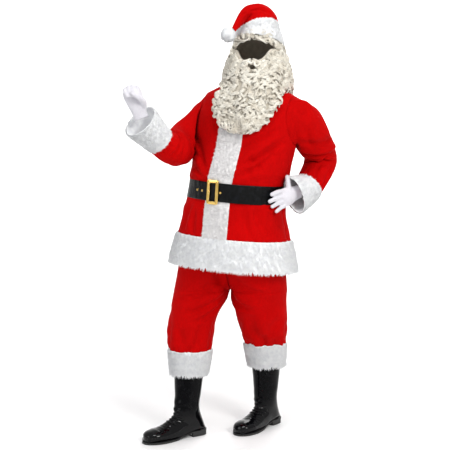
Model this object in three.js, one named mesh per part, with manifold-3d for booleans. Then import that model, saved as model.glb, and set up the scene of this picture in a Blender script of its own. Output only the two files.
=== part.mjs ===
// A worn santa costume: hat, wig, beard, jacket, belt, trousers, gloves and boots.
// Millimetres, +Z up, the front faces -Y, +X is the wearer's left.
// Heights in the tables are above the floor; the whole costume is then lowered by
// SHOULDER_HEIGHT, so that the origin is between the shoulders, at the base of the neck.

import * as THREE from "three";
import Module from "manifold-3d";

const wasm = await Module();
wasm.setup();

// Driving sizes

const SHOULDER_HEIGHT = 1540;
const CLOTH = 2;
const SEAM = 0.3;
const LIE = 0.3;
const BODY_POWER = 2.2;
const RIDGE_POWER = 2.5;

const UNDERARM = 1300;
const HEM_TOP = 893;
const HEM_BOTTOM = 768;
const SHOULDER_HALF = 214;
const CHEST_HALF = 234;
const CHEST_FRONT = 163;
const CHEST_BACK = 142;

const BAND_HALF = 57.5;
const BAND_PILE = 9;
const BAND_PRESSED = 3;
const HEM_PILE = 12;
const CUFF_PILE = 8;
const LEG_PILE = 11;

const BELT_TOP = 1131;
const BELT_MIDDLE = 1091;
const BELT_BOTTOM = 1051;
const BELT_END = 5;
const BELT_THICK = 2.6;
const BUCKLE_HIGH = 105;
const BUCKLE_WIDE = 55;
const BUCKLE_BAR = 13.5;
const BUCKLE_THICK = 4.5;
const BUCKLE_AT = -18;

const COLUMNS = 10;
const BAND_COLUMNS = 2;
const NECK_COLUMN = 3;
const UPPER_ROWS = 9;

// Sections of the jacket: centre, half width, depth to the front and to the back,
// and how much a level line sinks towards the wearer's left for each millimetre.
const BODY = [
  { z: 765, cx: -92, half: 290, front: 222, back: 205, tilt: -0.066 },
  { z: 893, cx: -86, half: 256, front: 203, back: 186, tilt: -0.07 },
  { z: 1000, cx: -81, half: 229, front: 192, back: 165, tilt: -0.08 },
  { z: 1091, cx: -73, half: 212, front: 189, back: 146, tilt: -0.087 },
  { z: 1148, cx: -61, half: 215, front: 196, back: 143, tilt: -0.08 },
  { z: 1206, cx: -48, half: 222, front: 188, back: 142, tilt: -0.06 },
  { z: 1300, cx: -34, half: 234, front: 163, back: 142, tilt: -0.03 },
  { z: 1400, cx: -19, half: 234, front: 163, back: 142, tilt: 0 },
  { z: 1520, cx: 0, half: 234, front: 163, back: 142, tilt: 0 },
  { z: 1620, cx: 0, half: 234, front: 163, back: 142, tilt: 0 },
];

// Height of the shoulder line at a distance from the middle.
const RIDGE = [
  { x: 0, z: 1592 },
  { x: 84, z: 1568 },
  { x: 165, z: 1532 },
  { x: 214, z: 1510 },
  { x: 260, z: 1490 },
];
const RIDGE_TILT = -0.075;

// Share of the half width at which the armhole's edge lies, from the underarm up.
const ARMHOLE = [
  { w: 0, share: 1 },
  { w: 0.1, share: 0.955 },
  { w: 0.3, share: 0.89 },
  { w: 0.6, share: 0.865 },
  { w: 0.85, share: 0.885 },
  { w: 1, share: SHOULDER_HALF / CHEST_HALF },
];

const LOWER_ROWS = [HEM_TOP, 945, 998, BELT_BOTTOM, BELT_MIDDLE, BELT_TOP, 1187, 1243, UNDERARM];

// Creases pressed into the jacket: ends, depth and half width of each trough.
const CREASES = [
  { x0: 150, z0: 1290, x1: -5, z1: 1190, deep: 7, wide: 16 },
  { x0: 135, z0: 1225, x1: -5, z1: 1150, deep: 6, wide: 15 },
  { x0: 120, z0: 1330, x1: 40, z1: 1290, deep: 5, wide: 15 },
  { x0: -235, z0: 1330, x1: -150, z1: 1240, deep: 6, wide: 16 },
  { x0: -240, z0: 960, x1: -210, z1: 1045, deep: 5, wide: 18 },
  { x0: 90, z0: 930, x1: 60, z1: 1040, deep: 5, wide: 18 },
];

// Rings of the sleeves, from just outside the armhole to the cuff's seam.
const RIGHT_SLEEVE = [
  { x: -245, y: -55, z: 1347, tx: -0.6, ty: -0.6, tz: -0.5, under: 92, across: 66 },
  { x: -272, y: -114, z: 1310, tx: -0.2, ty: -0.9, tz: -0.35, under: 88, across: 62 },
  { x: -272, y: -178, z: 1288, tx: -0.02, ty: -0.97, tz: -0.2, under: 82, across: 68 },
  { x: -262, y: -236, z: 1279, tx: -0.15, ty: -0.97, tz: 0.08, under: 76, across: 72 },
  { x: -266, y: -282, z: 1285, tx: -0.27, ty: -0.8, tz: 0.5, under: 66, across: 66 },
  { x: -276, y: -323, z: 1305, tx: -0.27, ty: -0.74, tz: 0.61, under: 57, across: 57 },
];
const LEFT_SLEEVE = [
  { x: 220, y: 50, z: 1375, tx: 0.6, ty: 0.5, tz: -0.62, under: 94, across: 84 },
  { x: 240, y: 112, z: 1312, tx: 0.2, ty: 0.6, tz: -0.77, under: 80, across: 82 },
  { x: 250, y: 156, z: 1266, tx: 0.05, ty: 0.45, tz: -0.88, under: 76, across: 77 },
  { x: 250, y: 186, z: 1224, tx: -0.1, ty: -0.05, tz: -0.99, under: 74, across: 71 },
  { x: 243, y: 163, z: 1178, tx: -0.2, ty: -0.5, tz: -0.84, under: 68, across: 67 },
  { x: 222, y: 112, z: 1113, tx: -0.245, ty: -0.753, tz: -0.61, under: 62, across: 62 },
];
const RIGHT_CUFF_MOUTH = { x: -317, y: -416, z: 1387, tx: -0.27, ty: -0.74, tz: 0.61 };
const LEFT_CUFF_MOUTH = { x: 208, y: -20, z: 1078, tx: -0.4, ty: -0.89, tz: -0.2 };
RIGHT_CUFF_MOUTH.under = 74;
RIGHT_CUFF_MOUTH.across = 74;
LEFT_CUFF_MOUTH.under = 80;
LEFT_CUFF_MOUTH.across = 52;

// Sections of the trousers above the crotch, and of each leg below it.
const CROTCH = 650;
const SEAT = [
  { z: 650, cx: -106, cy: 4, half: 254, front: 122, back: 128, turn: 19 },
  { z: 760, cx: -98, cy: 0, half: 240, front: 160, back: 165, turn: 12 },
  { z: 893, cx: -88, cy: 0, half: 222, front: 172, back: 158, turn: 5 },
  { z: 1000, cx: -81, cy: 0, half: 209, front: 172, back: 146, turn: 0 },
  { z: 1070, cx: -75, cy: 0, half: 203, front: 178, back: 137, turn: 0 },
];
const RIGHT_LEG = [
  { z: 383, cx: -264, cy: -88, half: 92, deep: 92 },
  { z: 425, cx: -267, cy: -82, half: 98, deep: 100 },
  { z: 520, cx: -261, cy: -64, half: 106, deep: 110 },
  { z: 600, cx: -240, cy: -45, half: 120, deep: 119 },
  { z: 650, cx: -226, cy: -37, half: 127, deep: 125 },
];
const LEFT_LEG = [
  { z: 397, cx: 8, cy: 133, half: 90, deep: 92 },
  { z: 435, cx: 10, cy: 115, half: 104, deep: 102 },
  { z: 520, cx: 15, cy: 82, half: 113, deep: 112 },
  { z: 600, cx: 10, cy: 56, half: 124, deep: 119 },
  { z: 650, cx: 14, cy: 45, half: 127, deep: 125 },
];
const LEG_COLUMNS = 7;
const CUFF_FALL = 100;

// The hat's edges: height at the front and slope to the right and away, as seen by the camera.
const VIEW_TURN = 26;
const BRIM = {
  low: { z: 1764, right: -0.135, atRight: -5, away: -0.263 },
  high: { z: 1822, right: 0.2, atRight: 12, away: -0.33 },
};
const CROWN = [
  { right: 24, away: 2, z: 1836, lean: 6, wide: 82, deep: 88 },
  { right: 12, away: -10, z: 1855, lean: 34, wide: 62, deep: 70 },
  { right: -16, away: -42, z: 1855, lean: 66, wide: 42, deep: 46 },
  { right: -44, away: -82, z: 1838, lean: 96, wide: 25, deep: 25 },
  { right: -68, away: -108, z: 1800, lean: 122, wide: 14, deep: 14 },
  { right: -82, away: -118, z: 1776, lean: 132, wide: 9, deep: 9 },
];
const BRIM_PILE = 10;
const CROWN_RAISED = 0.6;
const POMPOM = 32;
const HAIR_THICK = 14;
const CURL_HIGH = 6;

// Boots: place of the shaft's axis on the floor and turn of the toe towards the wearer's left.
const BOOTS = [
  { name: "right_boot", x: -239, y: -114, turn: -30, topX: -12, topY: 50 },
  { name: "left_boot", x: 0, y: 200, turn: -12, topX: 12, topY: -27 },
];
const ANKLE = 118;
const SHAFT_TOP = 345;
const BOOT_LONG = 310;
const SHAFT_AXIS = 62;
const SOLE_THICK = 8;
const HEEL_RISE = 20;
const HEEL_LONG = 80;
const ARCH_START = 82;
const ARCH_END = 165;
const ARCH_EASE = 3.5;
const BOOT_WALL = 2.2;
const BOOT_SIDES = 12;
const BOOT_RINGS = [
  { back: 24, backZ: 345, front: 156, frontZ: 345, wide: 62 },
  { back: 24, backZ: 270, front: 156, frontZ: 270, wide: 62 },
  { back: 30, backZ: 190, front: 150, frontZ: 190, wide: 55 },
  { back: 34, backZ: 135, front: 152, frontZ: 140, wide: 50 },
  { back: 22, backZ: 88, front: 155, frontZ: 112, wide: 46 },
  { back: 6, backZ: 48, front: 161, frontZ: 99, wide: 43 },
  { back: 3, backZ: 28, front: 169, frontZ: 92, wide: 42 },
  { back: 45, backZ: 24, front: 181, frontZ: 84, wide: 42 },
  { back: 95, backZ: 16, front: 197, frontZ: 76, wide: 43 },
  { back: 140, backZ: 8, front: 216, frontZ: 67, wide: 46 },
  { back: 185, backZ: 6, front: 239, frontZ: 60, wide: 49 },
  { back: 226, backZ: 6, front: 263, frontZ: 56, wide: 50 },
  { back: 262, backZ: 6, front: 285, frontZ: 51, wide: 44 },
  { back: 290, backZ: 7, front: 302, frontZ: 43, wide: 32 },
];
const SOLE = [
  { along: -3, half: 13 },
  { along: 4, half: 26 },
  { along: 18, half: 35 },
  { along: 50, half: 38 },
  { along: 80, half: 36 },
  { along: 120, half: 36 },
  { along: 165, half: 44 },
  { along: 215, half: 53 },
  { along: 255, half: 51 },
  { along: 288, half: 39 },
  { along: 305, half: 24 },
  { along: 312, half: 9 },
];
const LACE_ROWS = [5.4, 6.5, 7.5];
const LACE_HALF = 0.17;
const LACE_LIE = 1;
const GLOVE_CLOTH = 1.6;

// The head's own axis, turned towards the camera's side, carries hat, wig and beard.
const HEAD = { x: 22, y: 10, turn: 10 };

// Sections of the hair, measured from the head's axis: half width, front and back.
const HAIR = [
  { z: 1345, half: 36, front: 204, back: 90 },
  { z: 1375, half: 92, front: 208, back: 95 },
  { z: 1410, half: 124, front: 200, back: 100 },
  { z: 1449, half: 144, front: 190, back: 105 },
  { z: 1490, half: 152, front: 180, back: 112 },
  { z: 1532, half: 151, front: 162, back: 122 },
  { z: 1575, half: 149, front: 142, back: 128 },
  { z: 1613, half: 144, front: 130, back: 130 },
  { z: 1668, half: 126, front: 118, back: 126 },
  { z: 1717, half: 106, front: 110, back: 116 },
  { z: 1750, half: 97, front: 104, back: 108 },
  { z: 1772, half: 92, front: 98, back: 102 },
  { z: 1786, half: 82, front: 88, back: 90 },
  { z: 1797, half: 58, front: 62, back: 64 },
];

// Small helpers

const RAD = Math.PI / 180;
const vec = (x, y, z) => new THREE.Vector3(x, y, z);
const mix = (a, b, t) => a + (b - a) * t;
const clamp = (value, low, high) => Math.min(high, Math.max(low, value));

function smooth(a, b, x) {
  const t = clamp((x - a) / (b - a), 0, 1);
  return t * t * (3 - 2 * t);
}

// One column of a table, read at a value of its key with a smooth cubic.
function read(rows, key, at, column) {
  let i = 0;
  while (i < rows.length - 2 && at > rows[i + 1][key]) {
    i += 1;
  }
  const slope = (k) => {
    const before = rows[Math.max(k - 1, 0)];
    const after = rows[Math.min(k + 1, rows.length - 1)];
    return (after[column] - before[column]) / (after[key] - before[key]);
  };
  const a = rows[i];
  const b = rows[i + 1];
  const span = b[key] - a[key];
  const t = clamp((at - a[key]) / span, 0, 1);
  const t2 = t * t;
  const t3 = t2 * t;
  return (
    (2 * t3 - 3 * t2 + 1) * a[column] +
    (t3 - 2 * t2 + t) * span * slope(i) +
    (3 * t2 - 2 * t3) * b[column] +
    (t3 - t2) * span * slope(i + 1)
  );
}

const power = (value, exponent) => Math.sign(value) * Math.pow(Math.abs(value), exponent);

// A closed skin over an outer and an inner grid of points, stitched along the open edges.
function closedWall(outer, inner, wrap) {
  const rows = outer.length;
  const columns = outer[0].length;
  const positions = [];
  const quad = (a, b, c, d) => {
    for (const [p, q, r] of [[a, b, c], [a, c, d]]) {
      if (p.distanceTo(q) > 1e-4 && q.distanceTo(r) > 1e-4 && r.distanceTo(p) > 1e-4) {
        positions.push(p.x, p.y, p.z, q.x, q.y, q.z, r.x, r.y, r.z);
      }
    }
  };
  const last = wrap ? columns : columns - 1;
  for (let i = 0; i < rows - 1; i += 1) {
    for (let j = 0; j < last; j += 1) {
      const k = (j + 1) % columns;
      quad(outer[i][j], outer[i][k], outer[i + 1][k], outer[i + 1][j]);
      quad(inner[i][j], inner[i + 1][j], inner[i + 1][k], inner[i][k]);
    }
  }
  for (let j = 0; j < last; j += 1) {
    const k = (j + 1) % columns;
    quad(inner[0][j], inner[0][k], outer[0][k], outer[0][j]);
    quad(outer[rows - 1][j], outer[rows - 1][k], inner[rows - 1][k], inner[rows - 1][j]);
  }
  if (!wrap) {
    for (let i = 0; i < rows - 1; i += 1) {
      quad(outer[i][0], outer[i + 1][0], inner[i + 1][0], inner[i][0]);
      quad(inner[i][last], inner[i + 1][last], outer[i + 1][last], outer[i][last]);
    }
  }
  return facingOut(positions);
}

// A geometry from loose triangles, turned so that its faces point outwards.
function facingOut(positions) {
  let volume = 0;
  for (let i = 0; i < positions.length; i += 9) {
    const a = vec(positions[i], positions[i + 1], positions[i + 2]);
    const b = vec(positions[i + 3], positions[i + 4], positions[i + 5]);
    const c = vec(positions[i + 6], positions[i + 7], positions[i + 8]);
    volume += a.dot(b.cross(c));
  }
  if (volume < 0) {
    for (let i = 0; i < positions.length; i += 9) {
      for (let k = 0; k < 3; k += 1) {
        const kept = positions[i + 3 + k];
        positions[i + 3 + k] = positions[i + 6 + k];
        positions[i + 6 + k] = kept;
      }
    }
  }
  const geometry = new THREE.BufferGeometry();
  geometry.setAttribute("position", new THREE.Float32BufferAttribute(positions, 3));
  geometry.computeVertexNormals();
  return geometry;
}

// Normals of a grid of points, from its neighbours.
function gridNormals(grid, wrap) {
  const rows = grid.length;
  const columns = grid[0].length;
  return grid.map((row, i) =>
    row.map((point, j) => {
      const up = grid[Math.min(i + 1, rows - 1)][j].clone().sub(grid[Math.max(i - 1, 0)][j]);
      const right = wrap ? (j + 1) % columns : Math.min(j + 1, columns - 1);
      const left = wrap ? (j - 1 + columns) % columns : Math.max(j - 1, 0);
      const side = grid[i][right].clone().sub(grid[i][left]);
      return side.cross(up).normalize();
    }),
  );
}

// Draws the open edges of a grid back by half a seam.
function drawBack(grid, wrap, edges) {
  const rows = grid.length;
  const columns = grid[0].length;
  const moved = grid.map((row) => row.map((point) => point.clone()));
  const pull = (point, towards, along, distance) => {
    const step = towards.clone().sub(point);
    const line = along.clone().normalize();
    step.addScaledVector(line, -step.dot(line));
    if (step.length() < 1e-6) {
      return vec(0, 0, 0);
    }
    return step.normalize().multiplyScalar(distance);
  };
  const gap = SEAM / 2 + 0.02;
  for (let j = 0; j < columns; j += 1) {
    const right = wrap ? (j + 1) % columns : Math.min(j + 1, columns - 1);
    const left = wrap ? (j - 1 + columns) % columns : Math.max(j - 1, 0);
    for (const [i, next, wanted] of [
      [0, 1, edges.includes("start")],
      [rows - 1, rows - 2, edges.includes("end")],
    ]) {
      if (wanted) {
        const along = grid[i][right].clone().sub(grid[i][left]);
        moved[i][j].add(pull(grid[i][j], grid[next][j], along, gap));
      }
    }
  }
  for (let i = 0; i < rows && !wrap; i += 1) {
    for (const [j, next, wanted] of [
      [0, 1, edges.includes("left")],
      [columns - 1, columns - 2, edges.includes("right")],
    ]) {
      if (wanted) {
        const along = grid[Math.min(i + 1, rows - 1)][j].clone().sub(grid[Math.max(i - 1, 0)][j]);
        moved[i][j].add(pull(grid[i][j], grid[i][next], along, gap));
      }
    }
  }
  return moved;
}

const shifted = (grid, normals, distance) =>
  grid.map((row, i) =>
    row.map((point, j) => {
      const by = typeof distance === "function" ? distance(i, j) : distance;
      return point.clone().addScaledVector(normals[i][j], by);
    }),
  );

const materials = {
  red: new THREE.MeshStandardMaterial({ color: 0xc80a0a, roughness: 0.85 }),
  fur: new THREE.MeshStandardMaterial({ color: 0xf2f0ee, roughness: 0.95 }),
  hair: new THREE.MeshStandardMaterial({ color: 0xe6dfcf, roughness: 0.8 }),
  vinyl: new THREE.MeshStandardMaterial({ color: 0x0c0d10, roughness: 0.3 }),
  gold: new THREE.MeshStandardMaterial({ color: 0xe3b53a, roughness: 0.25, metalness: 1 }),
  glove: new THREE.MeshStandardMaterial({ color: 0xf3eff5, roughness: 0.85 }),
  patent: new THREE.MeshStandardMaterial({ color: 0x08090b, roughness: 0.2 }),
};

const costume = new THREE.Group();
costume.name = "santa_costume";

function place(name, geometry, material) {
  const mesh = new THREE.Mesh(geometry, materials[material].clone());
  mesh.name = name;
  costume.add(mesh);
}

// Solids for joining and cutting

function toSolid(geometry) {
  const flat = geometry.index ? geometry.toNonIndexed() : geometry;
  const source = flat.getAttribute("position");
  const found = new Map();
  const points = [];
  const corners = [];
  for (let i = 0; i < source.count; i += 1) {
    const p = [source.getX(i), source.getY(i), source.getZ(i)];
    const key = p.map((value) => Math.round(value * 1000)).join(" ");
    if (!found.has(key)) {
      found.set(key, points.length / 3);
      points.push(...p);
    }
    corners.push(found.get(key));
  }
  const kept = [];
  for (let i = 0; i < corners.length; i += 3) {
    const [a, b, c] = corners.slice(i, i + 3);
    if (a !== b && b !== c && c !== a) {
      kept.push(a, b, c);
    }
  }
  return new wasm.Manifold(
    new wasm.Mesh({
      numProp: 3,
      vertProperties: new Float32Array(points),
      triVerts: new Uint32Array(kept),
    }),
  );
}

const largestBody = (solid) => solid.decompose().sort((a, b) => b.volume() - a.volume())[0];

function toGeometry(solid) {
  const mesh = solid.getMesh();
  const positions = [];
  for (const corner of mesh.triVerts) {
    for (let k = 0; k < 3; k += 1) {
      positions.push(mesh.vertProperties[corner * mesh.numProp + k]);
    }
  }
  return facingOut(positions);
}

// Surface of the jacket

function bodyAt(z) {
  const section = {};
  for (const column of ["cx", "half", "front", "back", "tilt"]) {
    section[column] = read(BODY, "z", z, column);
  }
  return section;
}

// A point on the section at a level: angle 0 is the middle front, 90 the wearer's left side.
function bodyPoint(angle, level) {
  const s = bodyAt(level);
  const x = s.half * power(Math.sin(angle * RAD), 2 / BODY_POWER);
  const c = power(Math.cos(angle * RAD), 2 / BODY_POWER);
  const y = c > 0 ? -s.front * c : -s.back * c;
  return vec(s.cx + x, y, level + s.tilt * x);
}

const angleAt = (x, half) => Math.asin(clamp(Math.pow(x / half, BODY_POWER / 2), 0, 1)) / RAD;

// Angle of a column of a panel: the first ones carry the front band's edge.
function columnAngle(column, half, widest) {
  const edge = angleAt(BAND_HALF, half);
  if (column <= BAND_COLUMNS) {
    return angleAt((BAND_HALF * column) / BAND_COLUMNS, half);
  }
  return mix(edge, widest, (column - BAND_COLUMNS) / (COLUMNS - BAND_COLUMNS));
}

const ridgeAt = (x) => read(RIDGE, "x", Math.abs(x), "z") + RIDGE_TILT * x;

const widestAt = (w) => angleAt(CHEST_HALF * read(ARMHOLE, "w", w, "share"), CHEST_HALF);

// A point of the upper panel: side is 1 or -1, facing is "front" or "back".
function chestPoint(column, row, side, facing) {
  const topAngle = columnAngle(column, CHEST_HALF, widestAt(1));
  const topX = CHEST_HALF * power(Math.sin(topAngle * RAD), 2 / BODY_POWER);
  const neckAngle = columnAngle(NECK_COLUMN, CHEST_HALF, widestAt(1));
  const neckHalf = CHEST_HALF * power(Math.sin(neckAngle * RAD), 2 / BODY_POWER);
  const dip = facing === "front" ? 0.55 : 0.24;
  const share = clamp(topX / neckHalf, 0, 1);
  const top = column >= NECK_COLUMN ? 1 : 1 - dip * Math.sqrt(1 - share * share);
  const w = (row / UPPER_ROWS) * top;
  const angle = columnAngle(column, CHEST_HALF, widestAt(w));
  const x = CHEST_HALF * power(Math.sin(angle * RAD), 2 / BODY_POWER);
  const c = power(Math.cos(angle * RAD), 2 / BODY_POWER);
  const deep = facing === "front" ? -CHEST_FRONT : CHEST_BACK;
  const rise = power(Math.sin(w * 90 * RAD), 2 / RIDGE_POWER);
  const fall = power(Math.cos(w * 90 * RAD), 2 / RIDGE_POWER);
  const foot = UNDERARM + bodyAt(UNDERARM).tilt * side * x;
  const z = mix(foot, ridgeAt(side * x), rise);
  const s = bodyAt(z);
  return vec(s.cx + side * x, deep * c * fall, z);
}

function jacketPoint(column, row, side, facing) {
  const lower = LOWER_ROWS.length - 1;
  if (row > lower) {
    return chestPoint(column, row - lower, side, facing);
  }
  const level = LOWER_ROWS[row];
  const s = bodyAt(level);
  const angle = columnAngle(column, s.half, 90);
  const turned = facing === "front" ? angle : 180 - angle;
  return bodyPoint(side * turned, level);
}

function crease(point, facing) {
  if (facing !== "front") {
    return 0;
  }
  let depth = 0;
  for (const c of CREASES) {
    const along = vec(c.x1 - c.x0, 0, c.z1 - c.z0);
    const from = vec(point.x - c.x0, 0, point.z - c.z0);
    const t = from.dot(along) / along.lengthSq();
    const away = from.addScaledVector(along, -clamp(t, 0, 1)).length();
    depth += c.deep * Math.exp(-Math.pow(away / c.wide, 2)) * smooth(-0.2, 0.3, t);
  }
  return depth;
}

const JACKET_ROWS = LOWER_ROWS.length - 1 + UPPER_ROWS;

// The whole jacket as four quarters of plain points and their normals.
const quarters = {};
for (const facing of ["front", "back"]) {
  for (const side of [1, -1]) {
    const grid = [];
    for (let i = 0; i <= JACKET_ROWS; i += 1) {
      const row = [];
      for (let j = 0; j <= COLUMNS; j += 1) {
        row.push(jacketPoint(j, i, side, facing));
      }
      grid.push(row);
    }
    const sign = (facing === "front" ? 1 : -1) * side;
    const normals = gridNormals(grid, false).map((row) => row.map((n) => n.multiplyScalar(sign)));
    quarters[facing + side] = { grid, normals };
  }
}

// Shared edges take one normal, so that neighbouring walls meet squarely.
function shareNormal(first, second) {
  const n = first.clone().add(second).normalize();
  first.copy(n);
  second.copy(n);
}
const bottomUp = LOWER_ROWS.length - 1;
for (const side of [1, -1]) {
  const front = quarters["front" + side].normals;
  const back = quarters["back" + side].normals;
  for (let i = 0; i <= bottomUp; i += 1) {
    shareNormal(front[i][COLUMNS], back[i][COLUMNS]);
  }
  for (let j = NECK_COLUMN; j <= COLUMNS; j += 1) {
    shareNormal(front[JACKET_ROWS][j], back[JACKET_ROWS][j]);
  }
}
for (const facing of ["front", "back"]) {
  const left = quarters[facing + 1].normals;
  const right = quarters[facing + "-1"].normals;
  for (let i = 0; i <= JACKET_ROWS; i += 1) {
    shareNormal(left[i][0], right[i][0]);
  }
}

// Creases go in after the normals are known; the seams themselves stay where they are.
for (const side of [1, -1]) {
  const { grid, normals } = quarters["front" + side];
  for (let i = 1; i < JACKET_ROWS; i += 1) {
    for (let j = BAND_COLUMNS + 1; j < COLUMNS; j += 1) {
      grid[i][j].addScaledVector(normals[i][j], -crease(grid[i][j], "front"));
    }
  }
}

// Moves a point out along the jacket's nearest normal until it clears the cloth there.
function clearOfJacket(point, margin, sides) {
  for (let pass = 0; pass < 3; pass += 1) {
    let near = Infinity;
    let out = null;
    let from = null;
    for (const key of sides) {
      const { grid, normals } = quarters[key];
      grid.forEach((row, i) => {
        row.forEach((p, j) => {
          const distance = p.distanceToSquared(point);
          if (distance < near) {
            near = distance;
            out = normals[i][j];
            from = p;
          }
        });
      });
    }
    const short = margin - point.clone().sub(from).dot(out);
    if (short > 0) {
      point.addScaledVector(out, short);
    }
  }
}

// Spreads a point away from the body's axis until it lies outside the section at its height.
function spreadFromBody(point, margin) {
  const s = bodyAt(point.z);
  const t = clamp((point.z - UNDERARM) / (ridgeAt(point.x) - UNDERARM), 0, 1);
  const fall = Math.pow(1 - Math.pow(t, RIDGE_POWER), 1 / RIDGE_POWER);
  if (fall < 0.3) {
    return;
  }
  const deep = (point.y < 0 ? s.front : s.back) * fall;
  const across = Math.pow(Math.abs(point.x - s.cx) / s.half, BODY_POWER);
  const along = Math.pow(Math.abs(point.y) / deep, BODY_POWER);
  const reach = Math.pow(across + along, 1 / BODY_POWER);
  const factor = (1 + margin / s.half) / reach;
  if (factor > 1) {
    point.x = s.cx + (point.x - s.cx) * factor;
    point.y *= factor;
  }
}

// Sleeves

function ringsOf(rows) {
  const rings = [];
  let under = vec(0, 0, -1);
  for (const row of rows) {
    const along = vec(row.tx, row.ty, row.tz).normalize();
    under = under.clone().addScaledVector(along, -under.dot(along)).normalize();
    const across = along.clone().cross(under).normalize();
    if (rings.length === 0 && across.y > 0) {
      rings.flip = -1;
    }
    across.multiplyScalar(rings.flip || 1);
    rings.push({ centre: vec(row.x, row.y, row.z), under: under.clone(), across, row });
  }
  return rings;
}

const ringPoint = (ring, turn, grow) =>
  ring.centre
    .clone()
    .addScaledVector(ring.under, (ring.row.under + grow) * Math.cos(turn))
    .addScaledVector(ring.across, (ring.row.across + grow) * Math.sin(turn));

function loft(keys, steps) {
  const columns = keys[0].length;
  const rows = [];
  for (let i = 0; i <= (keys.length - 1) * steps; i += 1) {
    rows.push([]);
  }
  for (let j = 0; j < columns; j += 1) {
    const curve = new THREE.CatmullRomCurve3(keys.map((key) => key[j]), false, "centripetal");
    for (let i = 0; i < rows.length; i += 1) {
      rows[i].push(curve.getPoint(i / (rows.length - 1)));
    }
  }
  return rows;
}

const SLEEVE_STEPS = 2;
const JACKET_CLEAR = 19;
const FOLD_SHARE = 0.6;
const SEAM_STEPS = 9;
const around = 2 * UPPER_ROWS;

function sleeve(name, side, table, mouth) {
  const front = quarters["front" + side];
  const back = quarters["back" + side];
  const hole = [];
  const holeNormals = [];
  const outwards = [];
  for (let k = 0; k < around; k += 1) {
    const half = k <= UPPER_ROWS ? front : back;
    const row = bottomUp + (k <= UPPER_ROWS ? k : around - k);
    hole.push(half.grid[row][COLUMNS].clone());
    holeNormals.push(half.normals[row][COLUMNS]);
    outwards.push(half.grid[row][COLUMNS].clone().sub(half.grid[row][COLUMNS - 1]).normalize());
  }
  const rings = ringsOf([...table, mouth]);
  const keys = rings.map((ring) => {
    const points = [];
    for (let k = 0; k < around; k += 1) {
      points.push(ringPoint(ring, (2 * Math.PI * k) / around, 0));
    }
    return points;
  });
  const seam = table.length;
  const cuffKeys = keys.slice(seam - 1);
  const grid = loft([hole, ...keys.slice(0, seam)], SLEEVE_STEPS);
  grid.slice(1).forEach((ring, i) => {
    const margin = JACKET_CLEAR * Math.min(1, (i + 3) / 5);
    ring.forEach((p) => {
      spreadFromBody(p, margin);
      clearOfJacket(p, margin * 0.6, ["front" + side, "back" + side]);
    });
  });
  const middle = vec(0, 0, 0);
  grid[2].forEach((p) => middle.addScaledVector(p, 1 / around));
  const normals = gridNormals(grid, true);
  const outward = normals[2][0].dot(grid[2][0].clone().sub(middle)) > 0 ? 1 : -1;
  normals.forEach((row) => row.forEach((n) => n.multiplyScalar(outward)));
  for (let k = 0; k < around; k += 1) {
    const other = k === 0 ? back.normals[bottomUp][COLUMNS] : null;
    // Where the sleeve folds back over the panel, the shared direction points into the armhole.
    const folded = Math.max(0, -normals[0][k].dot(holeNormals[k]));
    normals[0][k].addScaledVector(outwards[k], -FOLD_SHARE * folded);
    shareNormal(normals[0][k], holeNormals[k]);
    if (other) {
      other.copy(holeNormals[k]);
    }
    if (k === UPPER_ROWS) {
      back.normals[JACKET_ROWS][COLUMNS].copy(holeNormals[k]);
    }
  }
  const cuffGrid = loft(cuffKeys, 3);
  const cuffNormals = gridNormals(cuffGrid, true);
  cuffNormals.forEach((row) => row.forEach((n) => n.multiplyScalar(outward)));
  for (let k = 0; k < around; k += 1) {
    shareNormal(normals[normals.length - 1][k], cuffNormals[0][k]);
  }
  let drawn = drawBack(grid, true, ["start", "end"]);
  for (let times = 0; times < SEAM_STEPS; times += 1) {
    drawn = drawBack(drawn, true, ["start"]);
  }
  place(name + "_sleeve", closedWall(drawn, shifted(drawn, normals, -CLOTH), true), "red");
  const cuffDrawn = drawBack(cuffGrid, true, ["start"]);
  const pile = (i) => CUFF_PILE * [0.5, 1, 1, 0.45][i];
  const outer = shifted(cuffDrawn, cuffNormals, pile);
  place(name + "_sleeve_cuff", closedWall(outer, shifted(cuffDrawn, cuffNormals, -CLOTH), true), "fur");
}

sleeve("right", -1, RIGHT_SLEEVE, RIGHT_CUFF_MOUTH);
sleeve("left", 1, LEFT_SLEEVE, LEFT_CUFF_MOUTH);

// Jacket panels

for (const side of [1, -1]) {
  const { grid, normals } = quarters["front" + side];
  const drawn = drawBack(grid, false, ["start", "end", "left", "right"]);
  const name = side > 0 ? "jacket_left_front" : "jacket_right_front";
  place(name, closedWall(drawn, shifted(drawn, normals, -CLOTH), false), "red");
}

const backGrid = [];
const backNormals = [];
for (let i = 0; i <= JACKET_ROWS; i += 1) {
  const left = quarters["back1"];
  const right = quarters["back-1"];
  backGrid.push([...right.grid[i].slice(1).reverse(), ...left.grid[i]]);
  backNormals.push([...right.normals[i].slice(1).reverse(), ...left.normals[i]]);
}
const backDrawn = drawBack(backGrid, false, ["start", "end", "left", "right"]);
place("jacket_back", closedWall(backDrawn, shifted(backDrawn, backNormals, -CLOTH), false), "red");

// Front band: the fronts' own points beside the opening, moved out.

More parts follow.
